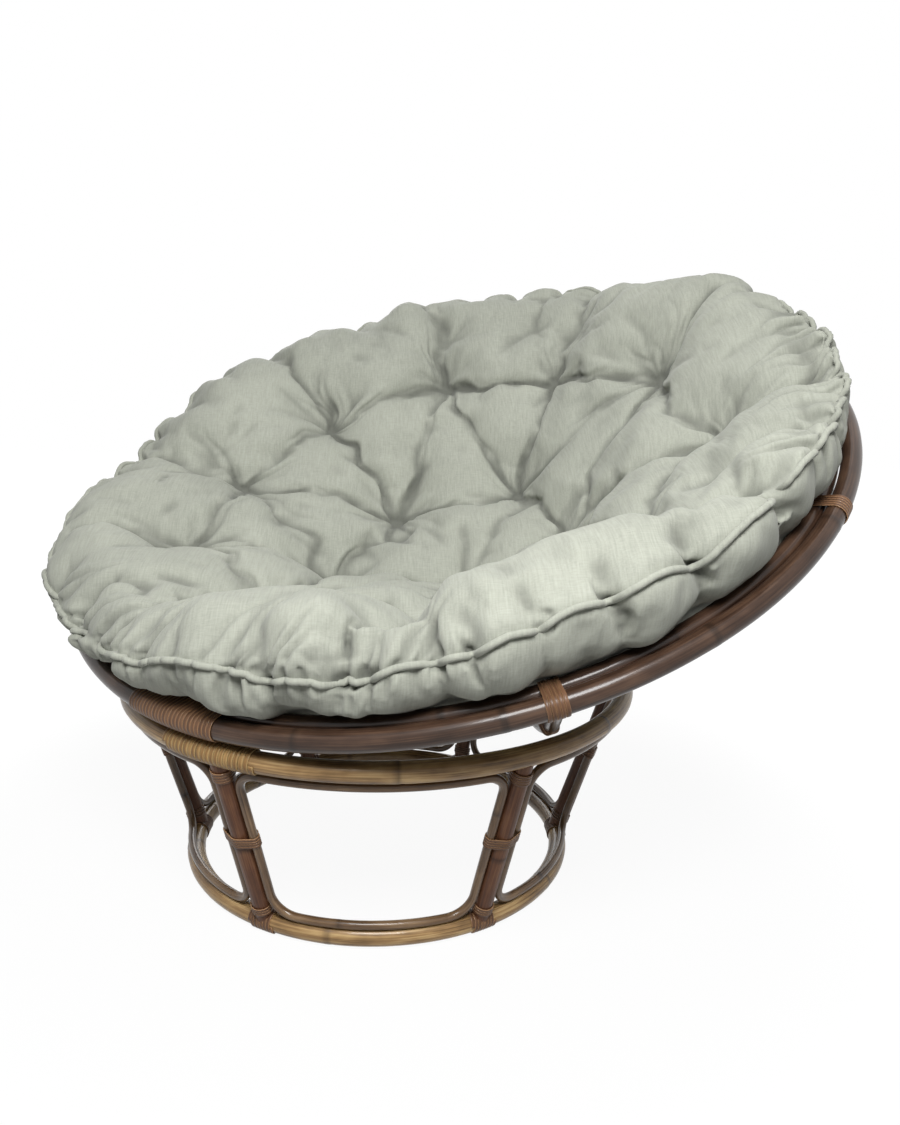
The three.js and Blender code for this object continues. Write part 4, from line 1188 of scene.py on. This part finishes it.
def pressed(x, y):
    """Depth of the gathers at points of the flat cloth, and height of the lips beside them."""
    dent = np.zeros(len(x))
    lip = np.zeros(len(x))
    for line, length, deep, half in gathers:
        low = line.min(axis=0) - 4 * half
        high = line.max(axis=0) + 4 * half
        near = np.nonzero((x > low[0]) & (x < high[0]) & (y > low[1]) & (y < high[1]))[0]
        away, share, left = from_line(x[near], y[near], line)
        span = half * (1.1 - 0.5 * share)
        strength = deep * (1 - share) ** 0.7 * np.clip(share * length / 0.008, 0.2, 1)
        dent[near] = np.maximum(dent[near], strength * bell(away, span, 1.4))
        lip[near] = np.maximum(lip[near], 0.45 * strength * left * bell(away - 2 * span, 1.1 * span))
    return dent, lip


spots = relaxed(cover.data, read_all(cover.data.vertices, "co"), 2)
write_all(cover.data.vertices, "co", spots)
cover.data.update()
normals = read_all(cover.data.vertices, "normal")


def hollow(rounds, deepest):
    """How deep each point lies below the cloth round it, as a share of the deepest."""
    return np.clip(((relaxed(cover.data, spots, rounds) - spots) * normals).sum(axis=1) / deepest, 0, 1)


# Painted shade: the deeper a point lies below the cloth round it, the darker the cloth is painted
mark(cover.data, "painted_crease_shade", "FLOAT", "value", 0.30 * hollow(8, 0.0024) + 0.60 * hollow(40, 0.0080))
flat_rows = np.stack([warp_x[::2].ravel(), warp_y[::2].ravel(), run_all[::2].ravel()], axis=-1)
laid = relaxed(cover.data, flat_rows[nearest_of(before, surface[::2].reshape(-1, 3))[0]], 3)
mark(cover.data, "flat", "FLOAT_VECTOR", "vector", laid)
smoother = cover.modifiers.new("fine", "SUBSURF")
smoother.levels = 1
smoother.render_levels = 1
apply_modifiers(cover)

# The gathers are pressed into the finer cloth, and painted shade darkens them
GATHER_SHADE = 0.55
MOST_SHADE = 0.9
marks = cover.data.attributes
spots = read_all(cover.data.vertices, "co")
laid = read_all(marks["flat"].data, "vector")
dent, lip = pressed(laid[:, 0], laid[:, 1])
spots -= read_all(cover.data.vertices, "normal") * (dent - lip)[:, None]
eased = 0.7 * np.clip(dent / 0.004, 0, 1)[:, None]
spots += eased * (relaxed(cover.data, spots, 1) - spots)
write_all(cover.data.vertices, "co", spots)
# Painted shade in the gathers is added to that of the hollows and creases
painted_crease_shade = read_all(marks["painted_crease_shade"].data, "value", 1)[:, 0]
painted_crease_shade = np.minimum(painted_crease_shade + GATHER_SHADE * np.clip(dent / 0.0060, 0, 1) ** 1.3, MOST_SHADE)
write_all(marks["painted_crease_shade"].data, "value", painted_crease_shade)
marks.remove(marks["flat"])
cover.data.update()
shade_smooth(cover.data)
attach(cover, "cushion")
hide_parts("cushion_top_panel", "cushion_bottom_panel")

# One long cord with no joints in it
seam_out = outward[:, SEAM]
seam_line = surface[:, SEAM] + seam_out * (PIPING_RADIUS * 0.9)
pole(
    "cushion piping", "cushion_piping", PIPING_KIND, seam_line, seam_out, PIPING_RADIUS,
    closed=True, sides=12, apart=50,
)

# Camera
CAMERA_BACK = 1.2
CAMERA_HEIGHT = 0.656
CAMERA_PITCH = radians(11.6)
CAMERA_ROLL = radians(1.65)
CAMERA_YAW = radians(4.36)
CAMERA_LENS = 35.68
level = Vector((cos(CAMERA_YAW), -sin(CAMERA_YAW), 0))
ahead = Vector((sin(CAMERA_YAW), cos(CAMERA_YAW), 0))
forward = ahead * cos(CAMERA_PITCH) - Vector((0, 0, sin(CAMERA_PITCH)))
lift = level.cross(forward)
right = level * cos(CAMERA_ROLL) + lift * sin(CAMERA_ROLL)
upward = lift * cos(CAMERA_ROLL) - level * sin(CAMERA_ROLL)
camera_data = bpy.data.cameras.new("camera")
camera_data.sensor_fit = "HORIZONTAL"
camera_data.sensor_width = 36
camera_data.lens = CAMERA_LENS
camera = bpy.data.objects.new("camera", camera_data)
scene.collection.objects.link(camera)
eye = BASE + Vector((0, -CAMERA_BACK, CAMERA_HEIGHT))
turned = Matrix((right, upward, -forward)).transposed()
camera.matrix_world = Matrix.Translation(eye) @ turned.to_4x4()
scene.camera = camera


# Studio
def show_white(tree, lit, white, share, output):
    """Joins two looks: lit for rays that light the object, white for those that see the background."""
    path = node(tree, "LightPath")
    either, any_of = (node(tree, "Math", operation="MAXIMUM") for _ in range(2))
    seen = node(tree, "Math", operation="MULTIPLY")
    seen.inputs[1].default_value = 1.0
    mix = node(tree, "MixShader")
    wire(path, "Is Camera Ray", either, 0)
    wire(path, "Is Glossy Ray", either, 1)
    wire(either, 0, any_of, 0)
    wire(path, "Is Transmission Ray", any_of, 1)
    wire(any_of, 0, seen, 0)
    if share:
        wire(share, 0, seen, 1)
    wire(seen, 0, mix, 0)
    wire(lit, 0, mix, 1)
    wire(white, 0, mix, 2)
    wire(mix, "Shader", tree.nodes[output], "Surface")


def stage_material(name, grey, shadow_reach, shadow_share):
    """A pale floor that looks white, and keeps a faint shadow close round the object."""
    material, tree, shader = new_material(name)
    fill_in(shader, Base_Color=(grey, grey, grey, 1), Roughness=0.9, Specular_IOR_Level=0.1)
    white = node(tree, "Emission", Color=(1, 1, 1, 1), Strength=1.04)
    place = node(tree, "TexCoord")
    away = node(tree, "VectorMath", operation="DISTANCE")
    away.inputs[1].default_value = (BASE.x, BASE.y, 0)
    wire(place, "Object", away, 0)
    share = node(tree, "MapRange", interpolation_type="SMOOTHSTEP")
    fill_in(share, From_Min=0.5 * shadow_reach, From_Max=shadow_reach, To_Min=1 - shadow_share, To_Max=1.0)
    wire(away, "Value", share, "Value")
    show_white(tree, shader, white, share, "Material Output")
    return material


FLOOR_HALF = 6
corners = [(x * FLOOR_HALF, y * FLOOR_HALF, 0) for x, y in ((-1, -1), (1, -1), (1, 1), (-1, 1))]
floor = make_object("floor", corners, [(0, 1, 2, 3)])
floor.location.z = -0.0005
floor.data.materials.append(stage_material("floor", 0.5, 1.0, 0.10))

world = bpy.data.worlds.new("studio")
scene.world = world
world.use_nodes = True
tree = world.node_tree
heading = node(tree, "TexCoord")
parts = node(tree, "SeparateXYZ")
wire(heading, "Generated", parts, "Vector")
dome = ramp(tree, [(0.0, (0.09, 0.09, 0.09)), (0.45, (0.14, 0.14, 0.14)), (1.0, (0.30, 0.30, 0.30))])
wire(parts, "Z", dome, "Fac")
background = fill_in(tree.nodes["Background"], Strength=1.0)
wire(dome, "Color", background, "Color")
white = node(tree, "Background", Color=(1, 1, 1, 1), Strength=1.0)
show_white(tree, background, white, None, "World Output")


def soft_light(name, at, towards, size, power):
    data = bpy.data.lights.new(name, "AREA")
    data.shape = "RECTANGLE"
    data.size = size[0]
    data.size_y = size[1]
    data.energy = power
    made = bpy.data.objects.new(name, data)
    scene.collection.objects.link(made)
    made.location = at
    made.rotation_euler = (Vector(towards) - Vector(at)).to_track_quat("-Z", "Y").to_euler()
    made.visible_camera = False


soft_light("key", (-0.08, -1.38, 1.58), (0, 0, 0.45), (0.8, 0.6), 41)
soft_light("back", (-0.3, 1.7, 1.2), (0, 0, 0.5), (1.2, 0.9), 13)
soft_light("top", (0.2, 0.3, 2.4), (0, 0, 0.4), (1.4, 1.0), 9)

scene.view_settings.view_transform = "Standard"
